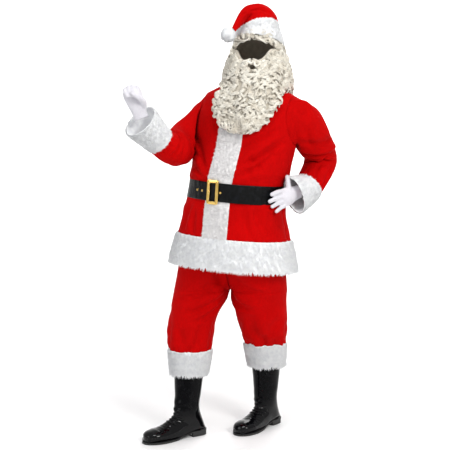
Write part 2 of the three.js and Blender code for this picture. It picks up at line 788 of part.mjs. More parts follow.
const bandGrid = [];
const bandNormals = [];
for (let i = 0; i <= JACKET_ROWS; i += 1) {
  const left = quarters["front1"];
  const right = quarters["front-1"];
  const pick = (rows) => rows.slice(0, BAND_COLUMNS + 1);
  bandGrid.push([...pick(right.grid[i]).slice(1).reverse(), ...pick(left.grid[i])]);
  bandNormals.push([...pick(right.normals[i]).slice(1).reverse(), ...pick(left.normals[i])]);
}
const bandPile = (i, j) => {
  const edge = j === 0 || j === 2 * BAND_COLUMNS ? 0.55 : 1;
  const level = i < LOWER_ROWS.length ? LOWER_ROWS[i] : 2000;
  const over = 1 - smooth(BELT_TOP, BELT_TOP + 40, level);
  const pressed = over - (1 - smooth(BELT_BOTTOM - 45, BELT_BOTTOM, level));
  return LIE + mix(BAND_PILE * edge, BAND_PRESSED, clamp(pressed, 0, 1));
};
const bandDrawn = drawBack(bandGrid, false, ["start", "end"]);
place(
  "jacket_front_band",
  closedWall(shifted(bandDrawn, bandNormals, bandPile), shifted(bandDrawn, bandNormals, LIE), false),
  "fur",
);

// Hem band: one strip round the jacket's lower edge, its ends meeting at the middle front.

const hemGrid = [];
for (const share of [0, 0.07, 0.5, 0.93, 1]) {
  const level = mix(HEM_TOP, HEM_BOTTOM, share);
  const half = bodyAt(level).half;
  const row = [];
  for (const [side, facing] of [[1, "front"], [1, "back"], [-1, "back"], [-1, "front"]]) {
    const rising = (side > 0) === (facing === "front");
    for (let k = 0; k <= COLUMNS; k += 1) {
      const column = rising ? k : COLUMNS - k;
      if (k === 0 && row.length > 0) {
        continue;
      }
      const angle = columnAngle(column, half, 90);
      row.push(bodyPoint(side * (facing === "front" ? angle : 180 - angle), level));
    }
  }
  hemGrid.push(row);
}
const hemNormals = gridNormals(hemGrid, false);
const hemOut = hemNormals[2][COLUMNS].x > 0 ? 1 : -1;
hemNormals.forEach((row) => row.forEach((n) => n.multiplyScalar(hemOut)));
hemNormals.forEach((row) => shareNormal(row[0], row[row.length - 1]));
const hemDrawn = drawBack(hemGrid, false, ["start", "left", "right"]);
const hemPile = (i) => HEM_PILE * [0.55, 0.9, 1, 0.8, 0.4][i];
place(
  "jacket_hem_band",
  closedWall(shifted(hemDrawn, hemNormals, hemPile), shifted(hemDrawn, hemNormals, -CLOTH), false),
  "fur",
);

// Belt: a strap that starts behind the buckle, goes round and ends over itself.

const beltStops = [];
for (const [quarter, from, to] of [
  ["front1", 0, COLUMNS],
  ["back1", COLUMNS - 1, 0],
  ["back-1", 1, COLUMNS],
  ["front-1", COLUMNS - 1, 0],
  ["front1", 1, BELT_END],
]) {
  const step = Math.sign(to - from);
  for (let j = from; j !== to + step; j += step) {
    beltStops.push([quarter, j]);
  }
}
const beltRows = [BELT_BOTTOM, BELT_MIDDLE, BELT_TOP].map((z) => LOWER_ROWS.indexOf(z));
const overBand = (stop) => {
  const [quarter, column] = stop;
  const onBand = quarter.startsWith("front") && column <= BAND_COLUMNS + 1;
  return LIE + (onBand ? BAND_PRESSED + LIE + 0.2 : 0);
};
const beltGap = beltStops.map((stop, k) => {
  const fromEnd = beltStops.length - 1 - k;
  const lifted = smooth(8.5, 6, fromEnd);
  return overBand(stop) + lifted * (BELT_THICK + LIE + 0.2);
});
const beltBase = beltRows.map((i) => beltStops.map(([quarter, j]) => quarters[quarter].grid[i][j]));
const beltOut = beltRows.map((i) => beltStops.map(([quarter, j]) => quarters[quarter].normals[i][j]));
const beltInner = shifted(beltBase, beltOut, (i, j) => beltGap[j]);
const beltOuter = shifted(beltBase, beltOut, (i, j) => beltGap[j] + BELT_THICK);
place("belt_strap", closedWall(beltOuter, beltInner, false), "vinyl");

// The body's surface at a distance from the middle front, from which buckle and eyelets are placed.
function onBelt(x) {
  const level = (BELT_TOP + BELT_BOTTOM) / 2;
  const side = x < 0 ? -1 : 1;
  const angle = side * angleAt(Math.abs(x), bodyAt(level).half);
  const p = bodyPoint(angle, level);
  const dx = bodyPoint(angle + 2, level).sub(bodyPoint(angle - 2, level)).normalize();
  const dz = bodyPoint(angle, level + 10).sub(bodyPoint(angle, level - 10)).normalize();
  const out = dx.clone().cross(dz).normalize();
  return { p, dx, out };
}

// How far the strap's outer face stands out of a spot, within a half width and height of it.
function strapFace(spot, reach, tall) {
  const up = spot.out.clone().cross(spot.dx).normalize();
  let far = 0;
  const parts = 12;
  for (let i = 0; i < beltOuter.length - 1; i += 1) {
    for (let j = 0; j < beltOuter[0].length - 1; j += 1) {
      for (let a = 0; a <= parts; a += 1) {
        for (let b = 0; b <= parts; b += 1) {
          const low = beltOuter[i][j].clone().lerp(beltOuter[i][j + 1], a / parts);
          const high = beltOuter[i + 1][j].clone().lerp(beltOuter[i + 1][j + 1], a / parts);
          const from = low.lerp(high, b / parts).sub(spot.p);
          const aside = Math.abs(from.dot(spot.dx));
          if (aside < reach && Math.abs(from.dot(up)) < tall && from.length() < 90) {
            far = Math.max(far, from.dot(spot.out));
          }
        }
      }
    }
  }
  return far;
}

function framed(geometry, spot, out) {
  const up = spot.out.clone().cross(spot.dx).normalize();
  const basis = new THREE.Matrix4().makeBasis(spot.dx, up, spot.out);
  basis.setPosition(spot.p.clone().addScaledVector(spot.out, out));
  return geometry.clone().applyMatrix4(basis);
}

const frame = new THREE.Shape();
frame.moveTo(-BUCKLE_WIDE / 2, -BUCKLE_HIGH / 2);
frame.lineTo(BUCKLE_WIDE / 2, -BUCKLE_HIGH / 2);
frame.lineTo(BUCKLE_WIDE / 2, BUCKLE_HIGH / 2);
frame.lineTo(-BUCKLE_WIDE / 2, BUCKLE_HIGH / 2);
frame.closePath();
const opening = new THREE.Path();
const holeHalf = BUCKLE_WIDE / 2 - BUCKLE_BAR;
const holeHigh = BUCKLE_HIGH / 2 - BUCKLE_BAR;
opening.moveTo(-holeHalf, -holeHigh);
opening.lineTo(-holeHalf, holeHigh);
opening.lineTo(holeHalf, holeHigh);
opening.lineTo(holeHalf, -holeHigh);
opening.closePath();
frame.holes.push(opening);
const frameGeometry = new THREE.ExtrudeGeometry(frame, {
  depth: BUCKLE_THICK - 2,
  bevelEnabled: true,
  bevelThickness: 1,
  bevelSize: 1,
  bevelOffset: -1,
  bevelSegments: 1,
});
const buckleSpot = onBelt(BUCKLE_AT);
const buckleOut = strapFace(buckleSpot, BUCKLE_WIDE / 2 + 1, BUCKLE_HIGH / 2) + 1 + LIE;
place("belt_buckle_frame", framed(frameGeometry, buckleSpot, buckleOut), "gold");

const EYELET_SIDES = 8;
const EYELETS = [-103, -74, 15];
const eyeletProfile = [[2, 0], [4.4, 0], [3.6, 0.9], [2.2, 0.9], [2, 0]].map(([r, h]) => new THREE.Vector2(r, h));
EYELETS.forEach((x, k) => {
  const ring = new THREE.LatheGeometry(eyeletProfile, EYELET_SIDES).rotateX(Math.PI / 2);
  const spot = onBelt(x);
  place("belt_eyelet_" + (k + 1), framed(ring, spot, strapFace(spot, 6, 6) + LIE), "gold");
});

// Trousers

const LEG_POWER = 2.1;
const WAIST = 1070;
const WAISTBAND_HIGH = 36;

function legSection(side, z) {
  if (z >= CROTCH) {
    const s = {};
    for (const column of ["cx", "cy", "half", "front", "back", "turn"]) {
      s[column] = read(SEAT, "z", z, column);
    }
    const closing = 1 - Math.pow(clamp((z - CROTCH) / (WAIST - CROTCH), 0, 1), 0.45);
    s.widest = 90 + 90 * closing;
    return s;
  }
  const table = side < 0 ? RIGHT_LEG : LEFT_LEG;
  const s = { widest: 180 };
  for (const column of ["cx", "cy", "half", "deep"]) {
    s[column] = read(table, "z", z, column);
  }
  return s;
}

// share runs from the outer seam (0) to the middle or inner seam (1).
function legPoint(side, facing, share, z) {
  const s = legSection(side, z);
  const angle = share * s.widest;
  const c = power(Math.cos(angle * RAD), 2 / LEG_POWER);
  const n = power(Math.sin(angle * RAD), 2 / LEG_POWER);
  if (z < CROTCH) {
    const turn = 19 * RAD * smooth(CROTCH - 200, CROTCH, z);
    const x = side * s.half * c;
    const y = (facing === "front" ? -1 : 1) * s.deep * n;
    return vec(
      s.cx + x * Math.cos(turn) - y * Math.sin(turn),
      s.cy + x * Math.sin(turn) + y * Math.cos(turn),
      z,
    );
  }
  const inner = power(Math.cos(s.widest * RAD), 2 / LEG_POWER);
  const radius = s.half / (1 - inner);
  const x = side * radius * (c - inner);
  const y = facing === "front" ? -s.front * n : s.back * n;
  const turn = s.turn * RAD;
  const tilt = read(BODY, "z", z, "tilt") * smooth(700, 1000, z);
  return vec(
    s.cx + x * Math.cos(turn) - y * Math.sin(turn),
    s.cy + x * Math.sin(turn) + y * Math.cos(turn),
    z + tilt * x,
  );
}

const SEAT_LEVELS = [WAIST, 980, 900, 830, 770, 720, 685, 662, CROTCH];
const legLevels = (bottom) => [635, 600, 555, 505, 455, 415, bottom + 10, bottom];

// The cloth gathers over the fur band: waves that grow towards the lower edge.
function gather(angle, z, bottom) {
  const low = 1 - smooth(bottom, bottom + 90, z);
  return low * (4 * Math.sin(9 * angle * RAD) + 3 * Math.sin(5 * angle * RAD + 1));
}

const legs = {};
for (const side of [1, -1]) {
  const bottom = side < 0 ? RIGHT_LEG[0].z : LEFT_LEG[0].z;
  const levels = [...SEAT_LEVELS, ...legLevels(bottom)];
  for (const facing of ["front", "back"]) {
    const grid = levels.map((z) => {
      const row = [];
      for (let j = 0; j <= LEG_COLUMNS; j += 1) {
        row.push(legPoint(side, facing, j / LEG_COLUMNS, z));
      }
      return row;
    });
    const normals = gridNormals(grid, false);
    const sign = normals[3][3].y * (facing === "front" ? -1 : 1) > 0 ? 1 : -1;
    normals.forEach((row) => row.forEach((n) => n.multiplyScalar(sign)));
    legs[facing + side] = { grid, normals, levels, bottom };
  }
}
for (const side of [1, -1]) {
  const front = legs["front" + side].normals;
  const back = legs["back" + side].normals;
  front.forEach((row, i) => {
    shareNormal(row[0], back[i][0]);
    if (i >= SEAT_LEVELS.length) {
      shareNormal(row[LEG_COLUMNS], back[i][LEG_COLUMNS]);
    }
  });
}
for (const facing of ["front", "back"]) {
  for (let i = 0; i < SEAT_LEVELS.length - 1; i += 1) {
    shareNormal(legs[facing + 1].normals[i][LEG_COLUMNS], legs[facing + "-1"].normals[i][LEG_COLUMNS]);
  }
}
// Where the four panels meet under the crotch the shared direction is straight down.
for (const key of Object.keys(legs)) {
  legs[key].normals[SEAT_LEVELS.length - 1][LEG_COLUMNS].set(0, 0, -1);
  legs[key].grid.forEach((row, i) => {
    const z = legs[key].levels[i];
    for (let j = 1; j < LEG_COLUMNS; j += 1) {
      row[j].addScaledVector(legs[key].normals[i][j], gather((j / LEG_COLUMNS) * 180, z, legs[key].bottom));
    }
  });
}
for (const side of [1, -1]) {
  for (const facing of ["front", "back"]) {
    const { grid, normals } = legs[facing + side];
    const drawn = drawBack(grid, false, ["start", "end", "left", "right"]);
    const name = "trousers_" + (side > 0 ? "left_" : "right_") + facing;
    place(name, closedWall(drawn, shifted(drawn, normals, -CLOTH), false), "red");
  }
  const { levels, bottom } = legs["front" + side];
  const base = levels.length - 1;
  const ring = [];
  ring.push(...legs["front" + side].grid[base]);
  ring.push(...legs["back" + side].grid[base].slice(1, LEG_COLUMNS).reverse());
  const centre = vec(0, 0, 0);
  ring.forEach((p) => centre.addScaledVector(p, 1 / ring.length));
  const cuffGrid = [0, 0.1, 0.5, 0.9, 1].map((share) =>
    ring.map((p) => {
      const drop = share * CUFF_FALL;
      const narrow = 1 - 0.13 * share;
      return vec(
        centre.x + (p.x - centre.x) * narrow + share * (side < 0 ? -1 : -3),
        centre.y + (p.y - centre.y) * narrow + share * (side < 0 ? -8 : 22),
        p.z - drop,
      );
    }),
  );
  const cuffNormals = gridNormals(cuffGrid, true);
  const out = cuffNormals[2][0].dot(cuffGrid[2][0].clone().sub(centre)) > 0 ? 1 : -1;
  cuffNormals.forEach((row) => row.forEach((n) => n.multiplyScalar(out)));
  const cuffDrawn = drawBack(cuffGrid, true, ["start"]);
  const pile = (i) => LEG_PILE * [0.5, 0.9, 1, 0.9, 0.4][i];
  place(
    "trousers_" + (side > 0 ? "left" : "right") + "_leg_cuff",
    closedWall(shifted(cuffDrawn, cuffNormals, pile), shifted(cuffDrawn, cuffNormals, -CLOTH), true),
    "fur",
  );
}
const topRow = (key) => legs[key].grid[0];
const bandRing = (lift) =>
  [
    ...topRow("front1"),
    ...topRow("front-1").slice(0, LEG_COLUMNS).reverse(),
    ...topRow("back-1").slice(1),
    ...topRow("back1").slice(1, LEG_COLUMNS).reverse(),
  ].map((p) => vec(p.x, p.y, p.z + lift));
const waistGrid = [bandRing(0), bandRing(WAISTBAND_HIGH)];
const waistNormals = gridNormals(waistGrid, true);
const waistOut = waistNormals[0][0].x > 0 ? 1 : -1;
waistNormals.forEach((row) => row.forEach((n) => n.multiplyScalar(waistOut)));
const waistDrawn = drawBack(waistGrid, true, ["start"]);
place(
  "trousers_waistband",
  closedWall(shifted(waistDrawn, waistNormals, 0.5), shifted(waistDrawn, waistNormals, -CLOTH - 1), true),
  "red",
);

// Head gear: points in the head's frame, right is towards the wearer's left, back is behind.

function headPoint(right, back, z) {
  const c = Math.cos(HEAD.turn * RAD);
  const s = Math.sin(HEAD.turn * RAD);
  return vec(HEAD.x + right * c - back * s, HEAD.y + right * s + back * c, z);
}

// The hair's outer form: angle 0 is the middle of the face, 90 the wearer's left ear.
function hairPoint(angle, z, grow) {
  const half = read(HAIR, "z", z, "half") + grow;
  const front = read(HAIR, "z", z, "front") + grow;
  const back = read(HAIR, "z", z, "back") + grow;
  const c = Math.cos(angle * RAD);
  return headPoint(half * Math.sin(angle * RAD), c > 0 ? -front * c : -back * c, z);
}

// Depth of the jacket's front at a place.
function frontAt(x, z) {
  const s = bodyAt(z);
  const across = Math.min(Math.abs(x - s.cx) / s.half, 1);
  const deep = s.front * Math.pow(1 - Math.pow(across, BODY_POWER), 1 / BODY_POWER);
  const t = clamp((z - UNDERARM) / (ridgeAt(x) - UNDERARM), 0, 1);
  return -deep * Math.pow(1 - Math.pow(t, RIDGE_POWER), 1 / RIDGE_POWER);
}

// Curls: crossing waves, laid over the smooth form.
function curl(angle, z) {
  const s = angle * 2.6;
  const first = Math.sin(2 * Math.PI * (s / 58 + z / 95));
  const second = Math.sin(2 * Math.PI * (z / 46 - s / 130));
  return CURL_HIGH * first * second;
}

const ALL_QUARTERS = ["front1", "front-1", "back1", "back-1"];
const HAIR_CLEAR = 4;
const HAIR_EDGE = 9;
const SEAM_ANGLE = 62;
const SIDE_LEVELS = [1540, 1575, 1612, 1655, 1700];

// Beard: from the moustache and the cheeks down over the chest.
const BEARD_COLUMNS = 14;
const BEARD_LEVELS = [
  ...[0, 0.14, 0.28, 0.42, 0.56, 0.7, 0.85].map((share) => mix(1345, SIDE_LEVELS[0], share)),
  ...SIDE_LEVELS,
];
const beardOuter = [];
const beardInner = [];
BEARD_LEVELS.forEach((level, i) => {
  const outerRow = [];
  const innerRow = [];
  for (let j = 0; j <= BEARD_COLUMNS; j += 1) {
    const share = (2 * j) / BEARD_COLUMNS - 1;
    const reach = SEAM_ANGLE + 18 * (1 - smooth(1450, SIDE_LEVELS[0], level));
    const angle = share * reach;
    const away = Math.abs(angle);
    const top = 1650 + 50 * smooth(12, 50, away);
    const z = level > 1560 ? mix(1560, top, (level - 1560) / (1700 - 1560)) : level;
    const lift = i === 0 || i === BEARD_LEVELS.length - 1 || Math.abs(share) === 1 ? 0 : curl(angle, z);
    const outer = hairPoint(angle, z, lift);
    const inner = hairPoint(angle, z, -HAIR_THICK);
    const onBand = Math.abs(inner.x - bodyAt(z).cx) < BAND_HALF + 40;
    const chest = frontAt(inner.x, z) - HAIR_CLEAR - (onBand ? BAND_PILE + 1 : 0);
    if (z < 1560 && inner.y > chest) {
      inner.y = chest;
    }
    if (z < 1560 && outer.y > inner.y - HAIR_EDGE) {
      outer.y = inner.y - HAIR_EDGE;
    }
    outerRow.push(outer);
    innerRow.push(inner);
  }
  beardOuter.push(outerRow);
  beardInner.push(innerRow);
});

// Wig: round the sides and the back, over the crown, with an opening for the face.
const WIG_COLUMNS = 16;
const wigLevels = [
  { z: 1540, edge: SEAM_ANGLE },
  { z: 1575, edge: SEAM_ANGLE },
  { z: 1612, edge: SEAM_ANGLE },
  { z: 1655, edge: SEAM_ANGLE },
  { z: 1700, edge: SEAM_ANGLE },
  { z: 1722, edge: 52 },
  { z: 1736, edge: 30 },
  { z: 1744, edge: 0.5 },
  { z: 1768, edge: 0.5 },
  { z: 1786, edge: 0.5 },
  { z: 1797, edge: 0.5 },
];
const wigOuter = [];
const wigInner = [];
wigLevels.forEach((row, i) => {
  const outerRow = [];
  const innerRow = [];
  for (let j = 0; j <= WIG_COLUMNS; j += 1) {
    const share = j / WIG_COLUMNS;
    const angle = mix(row.edge, 360 - row.edge, share);
    const behind = smooth(75, 140, 180 - Math.abs(180 - angle));
    const foot = mix(1540, 1500, behind);
    const z = row.z < 1700 ? mix(foot, 1700, (row.z - 1540) / 160) : row.z;
    const free = j === 0 || j === WIG_COLUMNS || i === 0 || row.z > 1690;
    const outer = hairPoint(angle, z, free ? 0 : curl(angle, z));
    const inner = hairPoint(angle, z - (row.z > 1790 ? HAIR_THICK : 0), -HAIR_THICK);
    if (z < 1620) {
      clearOfJacket(outer, HAIR_CLEAR, ALL_QUARTERS);
      clearOfJacket(inner, HAIR_CLEAR, ALL_QUARTERS);
    }
    outerRow.push(outer);
    innerRow.push(inner);
  }
  wigOuter.push(outerRow);
  wigInner.push(innerRow);
});
const pole = (z) => wigOuter[0].map(() => headPoint(0, 0, z));
wigOuter.push(pole(1804));
wigInner.push(pole(1804 - HAIR_THICK));

// Both pieces of hair are drawn back along their common seam, from its outer and inner points.
function drawPair(outer, inner) {
  const both = [outer, inner].map((grid) => drawBack(grid, false, ["left", "right"]));
  return closedWall(both[0], both[1], false);
}
place("beard", drawPair(beardOuter, beardInner), "hair");
place("wig", drawPair(wigOuter, wigInner), "hair");

// Hat: a band that lies on the hair, a cone folded over to the wearer's right, and a pompom.

function cameraSide(right, away, z) {
  const c = Math.cos(VIEW_TURN * RAD);
  const s = Math.sin(VIEW_TURN * RAD);
  return vec(right * c - away * s, right * s + away * c, z);
}
const HAT_COLUMNS = 18;
function brimLevel(point, edge) {
  const c = Math.cos(VIEW_TURN * RAD);
  const s = Math.sin(VIEW_TURN * RAD);
  const right = point.x * c + point.y * s;
  const away = -point.x * s + point.y * c;
  const row = BRIM[edge];
  return row.z + row.right * (right - row.atRight) + row.away * (away + 105);
}
const brimGrid = [];
for (const share of [0, 0.1, 0.5, 0.9, 1]) {
  const row = [];
  for (let j = 0; j < HAT_COLUMNS; j += 1) {
    const angle = (360 * j) / HAT_COLUMNS;
    const rough = hairPoint(angle, 1760, 0);
    const z = mix(brimLevel(rough, "low"), brimLevel(rough, "high"), share);
    row.push(hairPoint(angle, Math.min(z, 1786), 3.8 + Math.max(0, 1726 - z) * 0.1));
    row[j].z = z;
  }
  brimGrid.push(row);
}
const brimNormals = gridNormals(brimGrid, true);
const brimOut = brimNormals[2][0].dot(brimGrid[2][0].clone().sub(headPoint(0, 0, 1760))) > 0 ? 1 : -1;
brimNormals.forEach((row) => row.forEach((n) => n.multiplyScalar(brimOut)));
const crownKeys = [brimGrid[brimGrid.length - 1]];
for (const ring of CROWN) {
  const centre = cameraSide(ring.right, ring.away, ring.z);
  const side = cameraSide(Math.cos(ring.lean * RAD), 0, Math.sin(ring.lean * RAD));
  const deep = cameraSide(0, 1, 0);
  crownKeys.push(
    brimGrid[0].map((unused, j) => {
      const angle = ((360 * j) / HAT_COLUMNS - VIEW_TURN + HEAD.turn) * RAD;
      return centre
        .clone()
        .addScaledVector(side, ring.wide * Math.sin(angle))
        .addScaledVector(deep, -ring.deep * Math.cos(angle));
    }),
  );
}
const crownGrid = loft(crownKeys, 1);
const crownNormals = gridNormals(crownGrid, true);
crownNormals.forEach((row) => row.forEach((n) => n.multiplyScalar(brimOut)));
for (let j = 0; j < HAT_COLUMNS; j += 1) {
  shareNormal(brimNormals[brimNormals.length - 1][j], crownNormals[0][j]);
}
const brimDrawn = drawBack(brimGrid, true, ["end"]);
const brimPile = (i) => BRIM_PILE * [0.5, 0.9, 1, 0.8, 0.3][i];
place("hat_brim", closedWall(shifted(brimDrawn, brimNormals, brimPile), brimDrawn, true), "fur");
const crownDrawn = drawBack(crownGrid, true, ["start"]);
crownDrawn[0].forEach((p) => p.setZ(p.z + CROWN_RAISED));
place("hat_crown", closedWall(shifted(crownDrawn, crownNormals, CLOTH), crownDrawn, true), "red");
const tail = CROWN[CROWN.length - 1];
const tailEnd = cameraSide(tail.right, tail.away, tail.z);
const tailWay = cameraSide(-Math.sin(tail.lean * RAD), 0, Math.cos(tail.lean * RAD));
const pompom = new THREE.SphereGeometry(POMPOM, 12, 8);
const seat = Math.sqrt(POMPOM * POMPOM - Math.pow(tail.wide - 2, 2)) + 0.4;
pompom.translate(...tailEnd.addScaledVector(tailWay, seat).toArray());
place("hat_pompom", pompom, "fur");

// Gloves: the outer form of palm and fingers, less the same form made smaller by the cloth.

const place3 = (hand, row) =>
  hand.at
    .clone()
    .addScaledVector(hand.side, row.side)
    .addScaledVector(hand.out, row.out)
    .addScaledVector(hand.along, row.along);

// A closed limb through rings of the given half sizes, with rounded ends.
function limb(hand, rows, thinner, sides) {
  const points = rows.map((row) => place3(hand, row));
  const rings = [];
  const last = points.length - 1;
  const ringAt = (centre, tangent, wide, thick) => {
    const u = hand.side.clone().addScaledVector(tangent, -hand.side.dot(tangent)).normalize();
    const v = tangent.clone().cross(u);
    const ring = [];
    for (let k = 0; k < sides; k += 1) {
      const turn = (2 * Math.PI * k) / sides;
      ring.push(
        centre
          .clone()
          .addScaledVector(u, wide * Math.cos(turn))
          .addScaledVector(v, thick * Math.sin(turn)),
      );
    }
    return ring;
  };
  for (let i = 0; i <= last; i += 1) {
    const tangent = points[Math.min(i + 1, last)].clone().sub(points[Math.max(i - 1, 0)]).normalize();
    const wide = rows[i].wide - thinner;
    const thick = rows[i].thick - thinner;
    if (i === 0) {
      const back = points[0].clone().addScaledVector(tangent, rows[0].open && thinner ? -12 : 0);
      rings.push(new Array(sides).fill(back));
      rings.push(ringAt(back, tangent, wide, thick));
    } else {
      rings.push(ringAt(points[i], tangent, wide, thick));
    }
    if (i === last) {
      const tip = Math.min(wide, thick);
      const shoulder = points[i].clone().addScaledVector(tangent, tip * 0.6);
      rings.push(ringAt(shoulder, tangent, wide * 0.75, thick * 0.75));
      rings.push(new Array(sides).fill(points[i].clone().addScaledVector(tangent, tip)));
    }
  }
  const positions = [];
  for (let i = 0; i < rings.length - 1; i += 1) {
    for (let k = 0; k < sides; k += 1) {
      const n = (k + 1) % sides;
      const corners = [rings[i][k], rings[i][n], rings[i + 1][n], rings[i + 1][k]];
      for (const [a, b, c] of [[0, 1, 2], [0, 2, 3]]) {
        const [p, q, r] = [corners[a], corners[b], corners[c]];
        if (p.distanceTo(q) > 1e-4 && q.distanceTo(r) > 1e-4 && r.distanceTo(p) > 1e-4) {
          positions.push(p.x, p.y, p.z, q.x, q.y, q.z, r.x, r.y, r.z);
        }
      }
    }
  }
  return toSolid(facingOut(positions));
}

function glove(name, hand) {
  const form = (thinner) => {
    const fingers = hand.fingers.map((rows) => limb(hand, rows, thinner, thinner ? 5 : 6));
    const palm = limb(hand, hand.palm, thinner, thinner ? 8 : 12);
    const joined = fingers.reduce((whole, finger) => whole.add(finger), palm);
    return largestBody(joined);
  };
  place(name, toGeometry(form(0).subtract(form(GLOVE_CLOTH))), "glove");
}

const row = (side, out, along, wide, thick, open) => ({ side, out, along, wide, thick, open });
const rightHand = {
  at: vec(-320, -423, 1427),
  side: cameraSide(1, 0, 0),
  out: cameraSide(0, -1, 0),
  along: vec(-0.284, -0.193, 0.939).normalize(),
};
rightHand.palm = [
  row(0, 0, -34, 30, 24, true),
  row(0, 0, 4, 31, 24),
  row(0, 0, 38, 37, 24),
  row(0, 0, 70, 41, 21),
  row(0, 2, 88, 39, 16),
];
rightHand.fingers = [-30, -10, 10, 30].map((side) => [
  row(side, 4, 78, 12, 12),
  row(side, 18, 106, 12, 12),
  row(side, 42, 98, 11.5, 11.5),
  row(side * 0.92, 46, 66, 10.5, 10.5),
]);
rightHand.fingers.push([
  row(30, 8, 24, 13, 13),
  row(36, 32, 44, 12.5, 12.5),
  row(22, 54, 62, 11.5, 11.5),
  row(6, 58, 76, 10, 10),
]);
glove("right_glove", rightHand);

// The left hand lies on the hip: its rows are given along the thumb's side, outwards and forwards.
const leftHand = {
  at: vec(182, -38, 1068),
  side: vec(0, 0, 1),
  out: cameraSide(0, -1, 0),
  along: vec(-0.62, -0.78, -0.08).normalize(),
};
leftHand.palm = [
  row(22, -6, -68, 30, 22, true),
  row(14, -4, -34, 32, 22),
  row(4, 0, -4, 40, 18),
  row(0, 0, 16, 41, 14),
];
leftHand.fingers = [
  [row(28, 0, 12, 10.5, 10.5), row(28, 4, 44, 10, 10), row(20, 6, 74, 9, 9)],
  [row(8, 0, 14, 10.5, 10.5), row(2, 5, 50, 10, 10), row(-8, 8, 84, 9, 9)],
  [row(-13, 0, 12, 10.5, 10.5), row(-20, 5, 44, 9.5, 9.5), row(-31, 8, 72, 8.5, 8.5)],
  [row(-31, 0, 6, 10, 10), row(-41, 4, 32, 9, 9), row(-54, 7, 52, 8, 8)],
  [row(22, 2, -8, 13, 13), row(54, 4, -5, 11, 11), row(88, 4, 0, 9, 9)],
];
glove("left_glove", leftHand);

// Boots

function bootPoint(boot, along, aside, z) {
  const c = Math.cos(boot.turn * RAD);
  const s = Math.sin(boot.turn * RAD);
  const forward = along - SHAFT_AXIS;
  const high = Math.max(0, (z - ANKLE) / (SHAFT_TOP - ANKLE));
  return vec(
    boot.x + s * forward + c * aside + high * boot.topX,
    boot.y - c * forward + s * aside + high * boot.topY,
    z,
  );
}

// Height of the upper's underside: level over the heel, then down through the arch to the toe.
function insole(along) {
  const share = clamp((along - ARCH_START) / (ARCH_END - ARCH_START), 0, 1);
  return SOLE_THICK + LIE + HEEL_RISE * (1 - share);
}

function bootSurface(boot) {
  return BOOT_RINGS.map((ring) => {
    const points = [];
    for (let k = 0; k < BOOT_SIDES; k += 1) {
      const turn = (2 * Math.PI * k) / BOOT_SIDES;
      const share = 0.5 - 0.5 * Math.cos(turn);
      const along = mix(ring.front, ring.back, share);
      const z = mix(ring.frontZ, ring.backZ, share);
      points.push(bootPoint(boot, along, ring.wide * Math.sin(turn), Math.max(z, insole(along))));
    }
    return points;
  });
}

for (const boot of BOOTS) {
  const grid = bootSurface(boot);
  const normals = gridNormals(grid, true);
  const middle = vec(0, 0, 0);
  grid[1].forEach((p) => middle.addScaledVector(p, 1 / BOOT_SIDES));
  const out = normals[1][0].dot(grid[1][0].clone().sub(middle)) > 0 ? 1 : -1;
  normals.forEach((ring) => ring.forEach((n) => n.multiplyScalar(out)));
  const inner = shifted(grid, normals, -BOOT_WALL);
  grid.push(new Array(BOOT_SIDES).fill(bootPoint(boot, BOOT_LONG - 2, 0, 25)));
  inner.push(new Array(BOOT_SIDES).fill(bootPoint(boot, BOOT_LONG - 2 - 2 * BOOT_WALL, 0, 25)));
  place(boot.name + "_upper", closedWall(grid, inner, true), "patent");

  const slab = (rows, top, bottom, narrower) => {
    const upper = [];
    const lower = [];
    for (const { along, half } of rows) {
      const wide = half - narrower;
      upper.push([-1, 0, 1].map((side) => bootPoint(boot, along, side * wide, top(along))));
      lower.push([-1, 0, 1].map((side) => bootPoint(boot, along, side * wide, bottom(along))));
    }
    return closedWall(upper, lower, false);
  };
  const under = (along) => Math.max(0, insole(along) - LIE - SOLE_THICK);
  const ease = (along) => (along > 40 && along < 125 ? ARCH_EASE : 0);
  const over = (along) => insole(along) - LIE - ease(along);
  place(boot.name + "_sole", slab(SOLE, over, under, 0), "patent");
  const heelRows = SOLE.filter(({ along }) => along <= HEEL_LONG);
  place(boot.name + "_heel", slab(heelRows, () => under(0) - LIE, () => 0, 1.5), "patent");

  // Lace bars lie across the instep, made from the upper's own points moved out.
  LACE_ROWS.forEach((at, k) => {
    const base = Math.floor(at);
    const bar = [-LACE_HALF, LACE_HALF].map((shift) =>
      [-2, -1, 0, 1, 2].map((column) => {
        const j = (column + BOOT_SIDES) % BOOT_SIDES;
        const t = at - base + shift;
        return {
          p: grid[base][j].clone().lerp(grid[base + 1][j], t),
          n: normals[base][j].clone().lerp(normals[base + 1][j], t).normalize(),
        };
      }),
    );
    const lift = (by) => bar.map((line) => line.map(({ p, n }) => p.clone().addScaledVector(n, by)));
    place(boot.name + "_lace_" + (k + 1), closedWall(lift(LACE_LIE + 2.2), lift(LACE_LIE), false), "patent");
  });
}

costume.position.z = -SHOULDER_HEIGHT;
export default costume;
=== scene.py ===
import math

